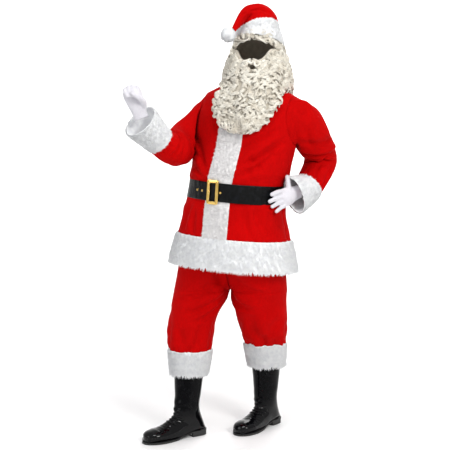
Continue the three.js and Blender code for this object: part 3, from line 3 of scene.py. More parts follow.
import bmesh
import bpy
import numpy as np
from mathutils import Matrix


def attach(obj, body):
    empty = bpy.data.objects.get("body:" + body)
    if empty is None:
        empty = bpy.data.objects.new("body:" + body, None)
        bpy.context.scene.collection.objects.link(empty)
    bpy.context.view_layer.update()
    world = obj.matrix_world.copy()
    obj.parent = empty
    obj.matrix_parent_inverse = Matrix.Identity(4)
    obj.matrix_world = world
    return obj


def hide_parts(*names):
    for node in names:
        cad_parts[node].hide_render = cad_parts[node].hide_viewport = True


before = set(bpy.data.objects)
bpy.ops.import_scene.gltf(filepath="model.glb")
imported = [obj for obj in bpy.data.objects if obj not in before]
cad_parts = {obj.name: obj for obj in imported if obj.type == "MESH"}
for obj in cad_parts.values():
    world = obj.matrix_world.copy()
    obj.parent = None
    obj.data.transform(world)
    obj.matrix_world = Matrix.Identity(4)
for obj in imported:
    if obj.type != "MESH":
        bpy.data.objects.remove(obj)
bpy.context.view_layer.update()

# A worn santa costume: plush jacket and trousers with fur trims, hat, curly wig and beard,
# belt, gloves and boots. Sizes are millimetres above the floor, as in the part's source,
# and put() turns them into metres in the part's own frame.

SHOULDER_HEIGHT = 1540
MM = 0.001
RAD = math.pi / 180
VIEW_TURN = 26
VIEW_TILT = 85.9
VIEW_PLACE = (1.717, -3.791, -0.300)
LENS = 75.73


# Camera, light and floor

def set_camera():
    """The photograph's viewpoint: 26 degrees round to the wearer's left, looking slightly down."""
    data = bpy.data.cameras.new("camera")
    data.sensor_width = 36
    data.lens = LENS
    camera = bpy.data.objects.new("camera", data)
    camera.location = VIEW_PLACE
    camera.rotation_euler = (VIEW_TILT * RAD, 0, VIEW_TURN * RAD)
    bpy.context.collection.objects.link(camera)
    bpy.context.scene.camera = camera


# Each light's place, the point it faces, its size, all in metres, its watts and its colour.
LIGHTS = [
    ("key", (3.9, -2.6, 1.7), (0, 0, -0.5), 1.5, 145, (1.0, 0.99, 0.97)),
    ("fill", (-2.8, -4.0, 0.7), (0, 0, -0.7), 2.4, 45, (0.96, 0.98, 1.0)),
    ("top", (0.6, -1.7, 2.9), (-0.1, -0.1, -1.0), 1.3, 52, (0.97, 0.98, 1.0)),
    ("back", (-0.5, 3.6, 1.8), (0, 0, -0.5), 2.4, 60, (1, 1, 1)),
    ("backdrop", (-1.0, 5.2, 4.2), (-3.6, 9.0, 0.4), 4.0, 420, (1, 1, 1)),
]
WORLD_STRENGTH = 0.62


def area_light(name, place, target, size, watts, colour):
    """A round lamp at a place, turned to face a target."""
    data = bpy.data.lights.new(name, "AREA")
    data.shape = "DISK"
    data.size = size
    data.energy = watts
    data.color = colour
    light = bpy.data.objects.new(name, data)
    light.location = place
    way = np.array(target, float) - np.array(place, float)
    flat = math.hypot(way[0], way[1])
    light.rotation_euler = (math.atan2(flat, -way[2]), 0, math.atan2(way[1], way[0]) - math.pi / 2)
    bpy.context.collection.objects.link(light)


set_camera()
for light_row in LIGHTS:
    area_light(*light_row)

world = bpy.data.worlds.new("studio")
world.use_nodes = True
world.node_tree.nodes["Background"].inputs["Color"].default_value = (1, 1, 1, 1)
world.node_tree.nodes["Background"].inputs["Strength"].default_value = WORLD_STRENGTH
bpy.context.scene.world = world
bpy.context.scene.view_settings.view_transform = "Standard"


# Materials: expressions on sockets add their own nodes

class Socket:
    """A shader output. Arithmetic with numbers or other sockets adds a Math node for each step."""

    def __init__(self, finish, output):
        self.finish = finish
        self.output = output

    def math(self, operation, first, second):
        return self.finish.node("ShaderNodeMath", {"operation": operation}, {0: first, 1: second})

    def __add__(self, other):
        return self.math("ADD", self, other)

    def __radd__(self, other):
        return self.math("ADD", other, self)

    def __sub__(self, other):
        return self.math("SUBTRACT", self, other)

    def __rsub__(self, other):
        return self.math("SUBTRACT", other, self)

    def __mul__(self, other):
        return self.math("MULTIPLY", self, other)

    def __rmul__(self, other):
        return self.math("MULTIPLY", other, self)


class Finish:
    """A material under construction: its shader, and one method that makes any other node."""

    def __init__(self, name, **fixed):
        self.material = bpy.data.materials.new(name)
        self.material.use_nodes = True
        self.tree = self.material.node_tree
        self.shader = self.tree.nodes["Principled BSDF"]
        self.place = self.node("ShaderNodeTexCoord", {}, {}, "Object")
        for socket, value in fixed.items():
            self.shader.inputs[socket.replace("_", " ")].default_value = value

    def node(self, kind, settings, inputs, output=0):
        made = self.tree.nodes.new(kind)
        for setting, value in settings.items():
            setattr(made, setting, value)
        for key, value in inputs.items():
            if isinstance(value, Socket):
                self.tree.links.new(value.output, made.inputs[key])
            else:
                made.inputs[key].default_value = value
        return Socket(self, made.outputs[output])

    def noise(self, scale, detail=2, where=None):
        return self.node(
            "ShaderNodeTexNoise", {}, {"Vector": where or self.place, "Scale": scale, "Detail": detail})

    def cells(self, scale, where=None):
        return self.node("ShaderNodeTexVoronoi", {}, {"Vector": where or self.place, "Scale": scale})

    def stretched(self, x, y, z):
        return self.node("ShaderNodeMapping", {}, {"Vector": self.place, "Scale": (x, y, z)})

    def between(self, value, low, high):
        """The value's share of the way from low to high, held to 0 and 1."""
        return self.node(
            "ShaderNodeMapRange", {"clamp": True}, {"Value": value, "From Min": low, "From Max": high})

    def blend(self, share, first, second):
        return self.node(
            "ShaderNodeMix", {"data_type": "RGBA"}, {0: share, 6: first, 7: second}, 2)

    def feed(self, socket, value):
        self.tree.links.new(value.output, self.shader.inputs[socket])

    def made(self, tone, dark, light, height, deep, strength, rough=None):
        """The material, coloured from dark to light by the tone, with its relief: a height in 0..1 over
        a depth in metres."""
        self.feed("Base Color", self.blend(tone, (*dark, 1), (*light, 1)))
        if rough is not None:
            self.feed("Roughness", rough)
        self.feed("Normal", self.node(
            "ShaderNodeBump", {}, {"Height": height, "Distance": deep, "Strength": strength}))
        return self.material


def red_plush():
    finish = Finish("red_plush", Roughness=0.85, Sheen_Weight=0.08, Sheen_Roughness=0.4,
                    Sheen_Tint=(1, 0.02, 0.03, 1), Specular_IOR_Level=0.05)
    patches = finish.noise(7, 3)
    nap = finish.noise(520, 2)
    pile = finish.noise(90, 3, finish.stretched(1, 1, 0.6))
    tone = finish.between(patches * 0.5 + nap * 0.25 + pile * 0.25, 0.36, 0.64)
    return finish.made(tone, (0.36, 0.0003, 0.0004), (0.47, 0.0004, 0.0006),
                       nap * 0.6 + pile * 0.5, 0.0013, 0.7, 0.78 + nap * 0.2)


def fur_white(name, cool, bright):
    finish = Finish(name, Roughness=0.95, Sheen_Weight=0.3, Specular_IOR_Level=0.1)
    clump_and_painted_shade = finish.noise(60, 3)
    fibre = finish.noise(600, 2)
    # The colour is darker where the clump and fibre noise, which also sets the relief, is low: partly random
    # mottling, partly painted shade between the tufts.
    tone = finish.between(clump_and_painted_shade * 0.5 + fibre * 0.5, 0.38, 0.56)
    dark = (bright * 0.85 * (1 - cool), bright * 0.85, bright * 0.87 * (1 + cool))
    light = (bright * (1 - cool), bright, bright * (1 + 0.3 * cool))
    return finish.made(tone, dark, light, clump_and_painted_shade * 0.4 + fibre * 0.5, 0.0015, 0.5)


def curly_hair(name, dark, light):
    finish = Finish(name, Roughness=0.5, Sheen_Weight=0.15, Specular_IOR_Level=0.35)
    lock = finish.noise(38, 2)
    strand = finish.noise(520, 2)
    tone = finish.between(lock * 0.6 + strand * 0.4, 0.36, 0.62)
    return finish.made(tone, dark, light, strand, 0.0006, 0.5, 0.4 + strand * 0.25)


def black_vinyl():
    finish = Finish("black_vinyl", Specular_IOR_Level=0.1, Coat_Weight=0.06, Coat_Roughness=0.15)
    wrinkle = finish.noise(34, 4, finish.stretched(1, 1, 0.3))
    grain = finish.cells(620)
    wear = finish.between(finish.noise(45, 3), 0.5, 0.75)
    return finish.made(wear, (0.0015, 0.0018, 0.002), (0.005, 0.006, 0.008),
                       wrinkle + grain * 0.05, 0.01, 0.8, 0.18 + wrinkle * 0.3)


SHAFT_DULL = -1.40
FOOT_BRIGHT = -1.46


def black_patent():
    """Black leather, dull on the shaft and polished on the foot, which the height tells apart."""
    finish = Finish("black_patent", Specular_IOR_Level=0.06, Coat_Roughness=0.05)
    height = finish.node("ShaderNodeSeparateXYZ", {}, {"Vector": finish.place}, 2)
    foot = finish.between(height, SHAFT_DULL, FOOT_BRIGHT)
    finish.feed("Coat Weight", 0.04 + foot * 0.3)
    ripple = finish.noise(30, 2)
    dust = finish.between(finish.noise(90, 4), 0.52, 0.8)
    return finish.made(dust, (0.0015, 0.0015, 0.002), (0.005, 0.005, 0.006),
                       ripple, 0.0022, 0.5, 0.1 + dust * 0.16)


def black_rubber():
    finish = Finish("sole_rubber", Roughness=0.55)
    grit = finish.noise(420, 3)
    return finish.made(grit, (0.006, 0.006, 0.006), (0.02, 0.02, 0.02),
                       grit, 0.0005, 0.6, 0.45 + grit * 0.2)


def gold_metal():
    finish = Finish("gold_metal", Roughness=0.22, Metallic=1.0)
    rubbed = finish.between(finish.noise(140, 4), 0.45, 0.75)
    return finish.made(rubbed, (0.86, 0.55, 0.13), (0.95, 0.72, 0.3),
                       finish.noise(900, 2), 0.0002, 0.3, 0.16 + rubbed * 0.16)


def white_knit():
    finish = Finish("white_knit", Roughness=0.85, Sheen_Weight=0.2, Specular_IOR_Level=0.2)
    stitch = finish.cells(950, finish.stretched(1, 1, 0.6))
    crease = finish.noise(60, 3)
    tone = finish.between(stitch * 0.5 + crease * 0.5, 0.2, 0.6)
    return finish.made(tone, (0.58, 0.565, 0.61), (0.71, 0.695, 0.74), stitch * 0.4 + crease, 0.003, 0.8)


def pale_floor():
    finish = Finish("studio_floor", Roughness=0.7)
    finish.feed("Base Color", finish.blend(finish.noise(3, 2), (0.86, 0.86, 0.86, 1), (0.9, 0.9, 0.9, 1)))
    return finish.material


RED = red_plush()
FUR_COOL = fur_white("white_fur_cool", 0.012, 0.93)
FUR_WARM = fur_white("white_fur_warm", -0.02, 0.9)
HAIR = curly_hair("curly_hair", (0.6, 0.55, 0.46), (0.8, 0.77, 0.69))
# The ground under the locks is a darker copy of the hair: painted shade between the locks.
HAIR_PAINTED_SHADE = curly_hair("curly_hair_painted_shade", (0.4, 0.36, 0.29), (0.55, 0.5, 0.42))
VINYL = black_vinyl()
PATENT = black_patent()
RUBBER = black_rubber()
GOLD = gold_metal()
KNIT = white_knit()


# Meshes from grids of points

def smooth(a, b, x):
    """Zero before a and one after b, with a soft cubic between."""
    t = np.clip((x - a) / (b - a), 0, 1)
    return t * t * (3 - 2 * t)


def power(value, exponent):
    """A power that keeps the value's sign."""
    return np.sign(value) * np.abs(value) ** exponent


def unit(vectors):
    return vectors / np.maximum(np.linalg.norm(vectors, axis=-1, keepdims=True), 1e-9)


def turned(x, y, angle):
    """x and y turned about the vertical by an angle in radians."""
    c, s = np.cos(angle), np.sin(angle)
    return x * c - y * s, x * s + y * c


def turns(count):
    """Evenly spaced angles of one whole turn, in radians."""
    return 2 * math.pi * np.arange(count) / count


def ovals(line, first, second, wide, high, count):
    """A ring round each point of a line, with its half sizes along the point's two directions."""
    turn = turns(count)[None, :, None]
    return line[:, None] + wide * np.cos(turn) * first[:, None] + high * np.sin(turn) * second[:, None]


def grid_normals(grid, wrap, inside=None):
    """Cross product of the steps along each row and along each column, turned away from inside,
    which is one point, or else each row's own middle."""
    up = np.gradient(grid, axis=0)
    side = (np.roll(grid, -1, 1) - np.roll(grid, 1, 1)) if wrap else np.gradient(grid, axis=1)
    normals = unit(np.cross(side, up))
    middle = grid.mean(1, keepdims=True) if inside is None else np.array(inside, float)
    sign = 1.0 if (normals * unit(grid - middle)).sum() > 0 else -1.0
    return normals * sign, sign


def grid_faces(rows, columns, wrap, sign, first=0):
    """Four corners of each cell of a grid, in the order that faces out."""
    i, j = np.meshgrid(np.arange(rows - 1), np.arange(columns if wrap else columns - 1), indexing="ij")
    k = (j + 1) % columns
    here, above = i * columns, (i + 1) * columns
    corners = np.stack([here + j, here + k, above + k, above + j], -1).reshape(-1, 4) + first
    return corners if sign > 0 else corners[:, ::-1]


def closed_wall(outer, inner, wrap, sign):
    """Points and faces of a wall: the outer grid, the inner one turned round, and their stitched edges."""
    rows, columns = outer.shape[:2]
    count = rows * columns
    points = np.concatenate([outer.reshape(-1, 3), inner.reshape(-1, 3)])
    faces = [grid_faces(rows, columns, wrap, 1), grid_faces(rows, columns, wrap, -1, count)]
    j = np.arange(columns if wrap else columns - 1)
    k = (j + 1) % columns
    last = (rows - 1) * columns
    faces.append(np.stack([j + count, k + count, k, j], -1))
    faces.append(np.stack([j + last, k + last, k + last + count, j + last + count], -1))
    if not wrap:
        i = np.arange(rows - 1) * columns
        n = i + columns
        edge = columns - 1
        faces.append(np.stack([i, n, n + count, i + count], -1))
        faces.append(np.stack([i + edge + count, n + edge + count, n + edge, i + edge], -1))
    faces = np.concatenate(faces)
    return points, faces if sign > 0 else faces[:, ::-1]


def put(name, points, faces, finish, slot, nodes=(), shade=True, merge=False, facing=None):
    """Makes the object from points in millimetres and lists of corners, and rides it on the root.
    Facing gives each point its shading direction, where that isn't the mesh's own."""
    mesh = bpy.data.meshes.new(name)
    placed = np.asarray(points, float).reshape(-1, 3) * MM
    placed[:, 2] -= SHOULDER_HEIGHT * MM
    sides = faces.shape[1]
    mesh.vertices.add(len(placed))
    mesh.vertices.foreach_set("co", placed.ravel())
    mesh.loops.add(faces.size)
    mesh.loops.foreach_set("vertex_index", np.ascontiguousarray(faces, np.int32).ravel())
    mesh.polygons.add(len(faces))
    mesh.polygons.foreach_set("loop_start", np.arange(0, faces.size, sides, dtype=np.int32))
    mesh.polygons.foreach_set("use_smooth", np.full(len(faces), shade))
    mesh.update(calc_edges=True)
    if merge:
        work = bmesh.new()
        work.from_mesh(mesh)
        bmesh.ops.remove_doubles(work, verts=work.verts, dist=1e-6)
        work.to_mesh(mesh)
        work.free()
    mesh.validate()
    if facing is not None:
        mesh.normals_split_custom_set_from_vertices(facing.reshape(-1, 3))
    obj = bpy.data.objects.new(name, mesh)
    bpy.context.collection.objects.link(obj)
    mesh.materials.append(finish)
    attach(obj, "root")
    if nodes:
        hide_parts(*nodes)
    return obj


CLOTH_THICK = 2.0
GLOVE_THICK = 1.6
LEAST_FILLED = 0.301


def shell(obj, thick):
    """Gives cloth its thickness on the inner side."""
    wall = obj.modifiers.new("wall", "SOLIDIFY")
    wall.thickness = thick * MM
    wall.offset = -1
    wall.use_even_offset = False


def cut_of(grid, wrap):
    """Width, length and area in metres of the flat cloth that a grid takes."""
    closed = np.concatenate([grid, grid[:, :1]], 1) if wrap else grid
    across = np.linalg.norm(np.diff(closed, axis=1), axis=-1)
    along = np.linalg.norm(np.diff(grid, axis=0), axis=-1)
    width, length = across.sum(1).max() * MM, along.sum(0).max() * MM
    a = closed[:-1, 1:] - closed[:-1, :-1]
    b = closed[1:, :-1] - closed[:-1, :-1]
    c = closed[1:, 1:] - closed[:-1, 1:]
    d = closed[1:, 1:] - closed[1:, :-1]
    area = 0.5 * (np.linalg.norm(np.cross(a, b), axis=-1) + np.linalg.norm(np.cross(c, d), axis=-1))
    return (float(width), float(length)), float(area.sum() * 1e-6)


def declare(grid, wrap):
    """Works out the flat cloth's size and area, with the area held to the part of the flat rectangle that a
    sheet may fill, and keeps neither.
    """
    flat, area = cut_of(grid, wrap)
    area = min(max(area, LEAST_FILLED * flat[0] * flat[1]), flat[0] * flat[1])


def cloth(node, grid, wrap, inside=None):
    """A sewn piece of red plush from its outer grid of points."""
    _, sign = grid_normals(grid, wrap, inside)
    obj = put(node + "_cloth", grid, grid_faces(*grid.shape[:2], wrap, sign), RED, "red_plush", [node])
    shell(obj, CLOTH_THICK)
    declare(grid, wrap)


# Tables read along a smooth cubic, and profiles carried through key rings

def table(columns, *rows):
    """The rows' values as one array for each named column."""
    return {name: np.array([row[i] for row in rows], float) for i, name in enumerate(columns.split())}


def cubic(t, first, leaving, second, arriving):
    """The cubic from the first value to the second, with the given slopes at its ends."""
    t2, t3 = t * t, t * t * t
    return ((2 * t3 - 3 * t2 + 1) * first + (t3 - 2 * t2 + t) * leaving
            + (3 * t2 - 2 * t3) * second + (t3 - t2) * arriving)


def read(rows, key, at, column):
    """One column at a value of the key: a cubic whose slope at each row comes from its neighbours."""
    keys, values = rows[key], rows[column]
    order = np.arange(len(keys))
    before, after = np.maximum(order - 1, 0), np.minimum(order + 1, len(keys) - 1)
    slope = (values[after] - values[before]) / (keys[after] - keys[before])
    i = np.clip(np.searchsorted(keys, at, side="left") - 1, 0, len(keys) - 2)
    span = keys[i + 1] - keys[i]
    t = np.clip((at - keys[i]) / span, 0, 1)
    return cubic(t, values[i], span * slope[i], values[i + 1], span * slope[i + 1])


def carried(keys, steps):
    """Rings between key rings, on centripetal Catmull-Rom curves through their matching points."""
    keys = np.asarray(keys, float)
    ends = np.concatenate([2 * keys[:1] - keys[1:2], keys, 2 * keys[-1:] - keys[-2:-1]])
    step = np.maximum(np.linalg.norm(np.diff(ends, axis=0), axis=-1, keepdims=True) ** 0.5, 1e-2)
    rings = []
    for i in range(len(keys) - 1):
        p0, p1, p2, p3 = ends[i:i + 4]
        d0, d1, d2 = step[i:i + 3]
        m1 = ((p1 - p0) / d0 - (p2 - p0) / (d0 + d1) + (p2 - p1) / d1) * d1
        m2 = ((p2 - p1) / d1 - (p3 - p1) / (d1 + d2) + (p3 - p2) / d2) * d1
        for t in np.arange(steps) / steps:
            rings.append(cubic(t, p1, m1, p2, m2))
    rings.append(keys[-1])
    return np.array(rings)


def troughs(across, along, rows, round_about=None):
    """Depth pressed into cloth. Each row gives two ends, a depth and a half width: a bell curve of the
    distance from a slightly bowed line between the ends, with a low ridge along its one side."""
    depth = np.zeros(np.broadcast(across, along).shape)
    for a0, b0, a1, b1, deep, wide in rows:
        da = across - a0
        if round_about:
            da = (da + round_about / 2) % round_about - round_about / 2
        db = along - b0
        la, lb = a1 - a0, b1 - b0
        long = math.hypot(la, lb)
        t = (da * la + db * lb) / long ** 2
        aside = (da * lb - db * la) / long + 0.07 * long * np.sin(math.pi * np.clip(t, 0, 1))
        past = np.maximum(np.abs(t - 0.5) - 0.5, 0) * long
        fade = smooth(-0.3, 0.25, t) * smooth(1.3, 0.75, t)
        trough = np.exp(-(np.hypot(aside, past) / wide) ** 2)
        ridge = np.exp(-(np.hypot(aside - 1.9 * wide, past) / (1.2 * wide)) ** 2)
        depth += deep * fade * (trough - 0.5 * ridge)
    return depth


def uneven(points, size, high, seed):
    """Soft unevenness: a few sine waves in seeded directions, about one size long."""
    wave = np.random.default_rng(seed)
    total = np.zeros(points.shape[:-1])
    for _ in range(5):
        way = unit(wave.normal(size=3)) * 2 * math.pi / (size * wave.uniform(0.7, 1.5))
        total += np.sin(points @ way + wave.uniform(0, 6.3))
    return high * total / 5


# Places on a grid, tufts and curled locks

def spots_on(grid, wrap, count, rng, weight):
    """Random places on a grid, as row and column numbers with fractions, even over its area."""
    closed = np.concatenate([grid, grid[:, :1]], 1) if wrap else grid
    a = closed[:-1, 1:] - closed[:-1, :-1]
    b = closed[1:, :-1] - closed[:-1, :-1]
    share = np.linalg.norm(np.cross(a, b), axis=-1)
    if weight is not None:
        share = share * weight[:share.shape[0], :share.shape[1]]
    cell = rng.choice(share.size, size=count, p=share.ravel() / share.sum())
    rows, columns = np.unravel_index(cell, share.shape)
    return rows + rng.random(count), columns + rng.random(count)


def at_spots(grid, wrap, rows, columns):
    """Values of a grid at places given by row and column numbers with fractions."""
    high, wide = grid.shape[:2]
    rows = np.clip(rows, 0, high - 1.0001)
    columns = columns % wide if wrap else np.clip(columns, 0, wide - 1.0001)
    i, j = np.floor(rows).astype(int), np.floor(columns).astype(int)
    s, t = (rows - i)[..., None], (columns - j)[..., None]
    k = (j + 1) % wide
    return ((1 - s) * (1 - t) * grid[i, j] + (1 - s) * t * grid[i, k]
            + s * (1 - t) * grid[i + 1, j] + s * t * grid[i + 1, k])


def tufts(name, grid, wrap, normals, finish, count, long, wide, droop, seed, weight=None, swirl=1.5,
          lit=None):
    """Fur: small three-sided spikes whose roots sit in the surface. Each leans down by the droop and
    to a random side, with its neighbours, and is from half to the whole length long. It is shaded
    mostly as the surface is, or as lit says."""
    rng = np.random.default_rng(seed)
    rows, columns = spots_on(grid, wrap, count, rng, weight)
    root = at_spots(grid, wrap, rows, columns)
    out = unit(at_spots(normals, wrap, rows, columns))
    lean = np.stack([uneven(root, 16, swirl, seed + 5 + k) for k in range(3)], -1)
    way = unit(out + lean + rng.normal(size=(count, 3)) * 0.3 + np.array([0, 0, -droop]))
    short = np.maximum(0.3 - (way * out).sum(-1, keepdims=True), 0)
    way = unit(way + out * short)
    tip = root + way * (long * rng.uniform(0.5, 1, (count, 1)))
    side = unit(np.cross(way, rng.normal(size=(count, 3))))
    other = unit(np.cross(way, side))
    turn = np.array([0, 2, 4]) * math.pi / 3
    ring = (root - way)[:, None] + 0.5 * wide * (
        np.cos(turn)[None, :, None] * side[:, None] + np.sin(turn)[None, :, None] * other[:, None])
    points = np.concatenate([ring, tip[:, None]], 1)
    front = out if lit is None else unit(at_spots(lit, wrap, rows, columns))
    facing = unit(front[:, None] + 0.55 * unit(points - (root - way)[:, None]) + 0.4 * way[:, None])
    base = 4 * np.arange(count)[:, None, None]
    faces = (base + np.array([[0, 1, 3], [1, 2, 3], [2, 0, 3]])).reshape(-1, 3)
    return put(name, points, faces, finish, "white_fur", facing=facing)


LOCK_LONG = (46, 84)
LOCK_REACH = 14.5
LOCK_TURNS = (1.3, 2.2)
LOCK_STEPS = 22
STRANDS = 3
STRAND_THICK = 2.7
TUBE_SIDES = 3


def locks(name, grid, normals, count, seed, weight, past=0.15):
    """Curled locks, which follow the surface down the grid's columns to its first row, and by the
    share past below it. Each is a few strands side by side on one helix, which widens from a third of
    its reach. A strand is a three-sided tube that thins towards both ends."""
    rng = np.random.default_rng(seed)
    rows, columns = spots_on(grid, False, count, rng, weight)
    t = np.linspace(0, 1, LOCK_STEPS)[None, :]
    tall = np.linalg.norm(np.diff(grid, axis=0), axis=-1).mean(0)
    length = rng.uniform(*LOCK_LONG, count)
    rows_long = length / np.maximum(np.interp(columns, np.arange(grid.shape[1]), tall), 0.5)
    rows = np.maximum(rows, rows_long * rng.uniform(1 - past, 1, count))
    path_rows = rows[:, None] - rows_long[:, None] * t
    below = np.maximum(-path_rows, 0) * (length / rows_long)[:, None]
    path_columns = columns[:, None] + rng.normal(size=(count, 1)) * 1.6 * t
    path_columns = np.clip(path_columns, 0.02, grid.shape[1] - 1.02)
    axis = at_spots(grid, False, np.maximum(path_rows, 0), path_columns)
    axis[..., 2] -= below
    out = unit(at_spots(normals, False, np.maximum(path_rows, 0), path_columns))
    axis = axis + out * (1.0 + 3 * np.sin(math.pi * t)[..., None])
    ahead = unit(np.gradient(axis, axis=1))
    across = unit(np.cross(ahead, out))
    away = unit(np.cross(across, ahead))
    hand = rng.choice([-1, 1], (count, 1))
    turn = rng.uniform(0, 6.3, (count, 1)) + hand * 2 * math.pi * rng.uniform(*LOCK_TURNS, (count, 1)) * t
    wide = LOCK_REACH * rng.uniform(0.6, 1.0, (count, 1)) * (0.3 + 0.7 * smooth(0, 0.35, t))
    spoke = np.cos(turn)[..., None] * across + 0.6 * np.sin(turn)[..., None] * away
    lines = []
    for k in range(STRANDS):
        spread = np.sin(math.pi * np.clip(t, 0.02, 0.98)) ** 0.5
        aside = (k - (STRANDS - 1) / 2) * STRAND_THICK * 1.7 * spread
        stray = rng.normal(size=(count, 1, 3)) * 0.5
        lines.append(axis + wide[..., None] * spoke * rng.uniform(0.88, 1.08, (count, 1, 1))
                     + aside[..., None] * ahead + stray)
    tubes(name, np.concatenate(lines), STRAND_THICK)


def tubes(name, lines, thick):
    """Thin tubes of hair on given lines, one row of points each, which close to a point at both ends."""
    count, steps = lines.shape[:2]
    run = unit(np.gradient(lines, axis=1))
    first = unit(np.cross(run, np.array([0.3, 0.2, 0.93])))
    second = np.cross(run, first)
    t = np.linspace(0, 1, steps)
    girth = thick * (0.25 + 0.75 * np.sin(math.pi * np.clip(t, 0.04, 0.96)) ** 0.45)
    angles = turns(TUBE_SIDES)
    rings = lines[:, :, None] + girth[None, :, None, None] * (
        np.cos(angles)[:, None] * first[:, :, None] + np.sin(angles)[:, None] * second[:, :, None])
    rings[:, 0] = rings[:, 0].mean(1, keepdims=True)
    rings[:, -1] = rings[:, -1].mean(1, keepdims=True)
    one = grid_faces(steps, TUBE_SIDES, True, 1)
    faces = (TUBE_SIDES * steps * np.arange(count)[:, None, None] + one).reshape(-1, 4)
    put(name, rings, faces, HAIR, "curly_hair")


# The jacket's form

UNDERARM = 1300
HEM_TOP = 893
HEM_BOTTOM = 768
CHEST_HALF = 234
CHEST_FRONT = 163
CHEST_BACK = 142
SHOULDER_HALF = 214
BODY_POWER = 2.2
RIDGE_POWER = 2.5
RIDGE_TILT = -0.075
BAND_HALF = 57.5
COLUMNS = 10
BAND_COLUMNS = 2
NECK_COLUMN = 3
UPPER_ROWS = 9
BELT_TOP = 1131
BELT_BOTTOM = 1051
LOWER_ROWS = [893, 945, 998, 1051, 1091, 1131, 1187, 1243, 1300]

BODY = table(
    "z cx half front back tilt",
    (765, -92, 290, 222, 205, -0.066),
    (893, -86, 256, 203, 186, -0.07),
    (1000, -81, 229, 192, 165, -0.08),
    (1091, -73, 212, 189, 146, -0.087),
    (1148, -61, 215, 196, 143, -0.08),
    (1206, -48, 222, 188, 142, -0.06),
    (1300, -34, 234, 163, 142, -0.03),
    (1400, -19, 234, 163, 142, 0),
    (1520, 0, 234, 163, 142, 0),
    (1620, 0, 234, 163, 142, 0),
)
RIDGE = table("x z", (0, 1592), (84, 1568), (165, 1532), (214, 1510), (260, 1490))
ARMHOLE = table(
    "w share", (0, 1), (0.1, 0.955), (0.3, 0.89), (0.6, 0.865), (0.85, 0.885),
    (1, SHOULDER_HALF / CHEST_HALF))

# Creases in the jacket: the two ends' distance from the middle and height, depth, half width.
FRONT_CREASES = [
    (172, 1300, 0, 1196, 16, 13),
    (150, 1250, 30, 1172, 12, 11),
    (96, 1190, -30, 1146, 9, 10),
    (150, 1350, 70, 1300, 9, 12),
    (60, 1240, 110, 1180, 8, 11),
    (-238, 1330, -160, 1226, 11, 13),
    (-226, 1262, -138, 1196, 9, 12),
    (-205, 1190, -150, 1150, 7, 9),
    (-262, 930, -214, 1040, 10, 15),
    (-196, 905, -186, 1030, 8, 13),
    (66, 905, 42, 1036, 9, 14),
    (128, 900, 82, 1034, 11, 15),
    (160, 1480, 96, 1400, 5, 16),
    (-170, 1470, -120, 1392, 5, 16),
]
BACK_CREASES = [
    (170, 1330, 60, 1240, 8, 15),
    (150, 1262, 30, 1182, 7, 13),
    (-210, 1330, -110, 1236, 8, 15),
    (-190, 1256, -90, 1180, 6, 13),
    (-60, 1160, 40, 1150, 5, 10),
    (-240, 915, -196, 1036, 8, 18),
    (-120, 900, -104, 1030, 6, 14),
    (10, 905, 2, 1034, 7, 17),
    (110, 900, 84, 1034, 6, 15),
    (-20, 1500, 10, 1380, 5, 20),
    (120, 1490, 90, 1390, 5, 16),
]


def body_at(z):
    """The body's section at a height."""
    return {column: read(BODY, "z", z, column) for column in ("cx", "half", "front", "back", "tilt")}


def body_point(angle, level):
    """A point on the body's section: a superellipse with its own depth to the front and to the back,
    lowered in proportion to the distance from its middle."""
    s = body_at(level)
    x = s["half"] * power(np.sin(angle * RAD), 2 / BODY_POWER)
    c = power(np.cos(angle * RAD), 2 / BODY_POWER)
    y = np.where(c > 0, -s["front"] * c, -s["back"] * c)
    return np.stack([s["cx"] + x, y, level + s["tilt"] * x], -1)


def angle_at(x, half):
    """The angle at which a section of the given half width reaches a distance from its middle."""
    return np.arcsin(np.clip((x / half) ** (BODY_POWER / 2), 0, 1)) / RAD


def column_angle(column, half, widest):
    """Angle of a column: the first two reach the band's edge, and the others share out the rest."""
    on_band = angle_at(BAND_HALF * np.clip(column, 0, BAND_COLUMNS) / BAND_COLUMNS, half)
    edge = angle_at(BAND_HALF, half)
    beyond = edge + (widest - edge) * (column - BAND_COLUMNS) / (COLUMNS - BAND_COLUMNS)
    return np.where(column <= BAND_COLUMNS, on_band, beyond)


def ridge_at(x):
    """Height of the shoulder line at a distance from the middle."""
    return read(RIDGE, "x", np.abs(x), "z") + RIDGE_TILT * x


def widest_at(w):
    """The last column's angle at a share of the way from the underarm to the shoulder line."""
    return angle_at(CHEST_HALF * read(ARMHOLE, "w", w, "share"), CHEST_HALF)


def panel_top(column, front):
    """How much of the way to the shoulder line a column goes: less inside the neck opening."""
    whole = widest_at(1.0)
    x = CHEST_HALF * power(np.sin(column_angle(column, CHEST_HALF, whole) * RAD), 2 / BODY_POWER)
    neck = column_angle(NECK_COLUMN, CHEST_HALF, whole)
    neck_half = CHEST_HALF * power(np.sin(neck * RAD), 2 / BODY_POWER)
    share = np.clip(x / neck_half, 0, 1)
    dip = 0.55 if front else 0.24
    return np.where(column >= NECK_COLUMN, 1, 1 - dip * np.sqrt(1 - share * share))


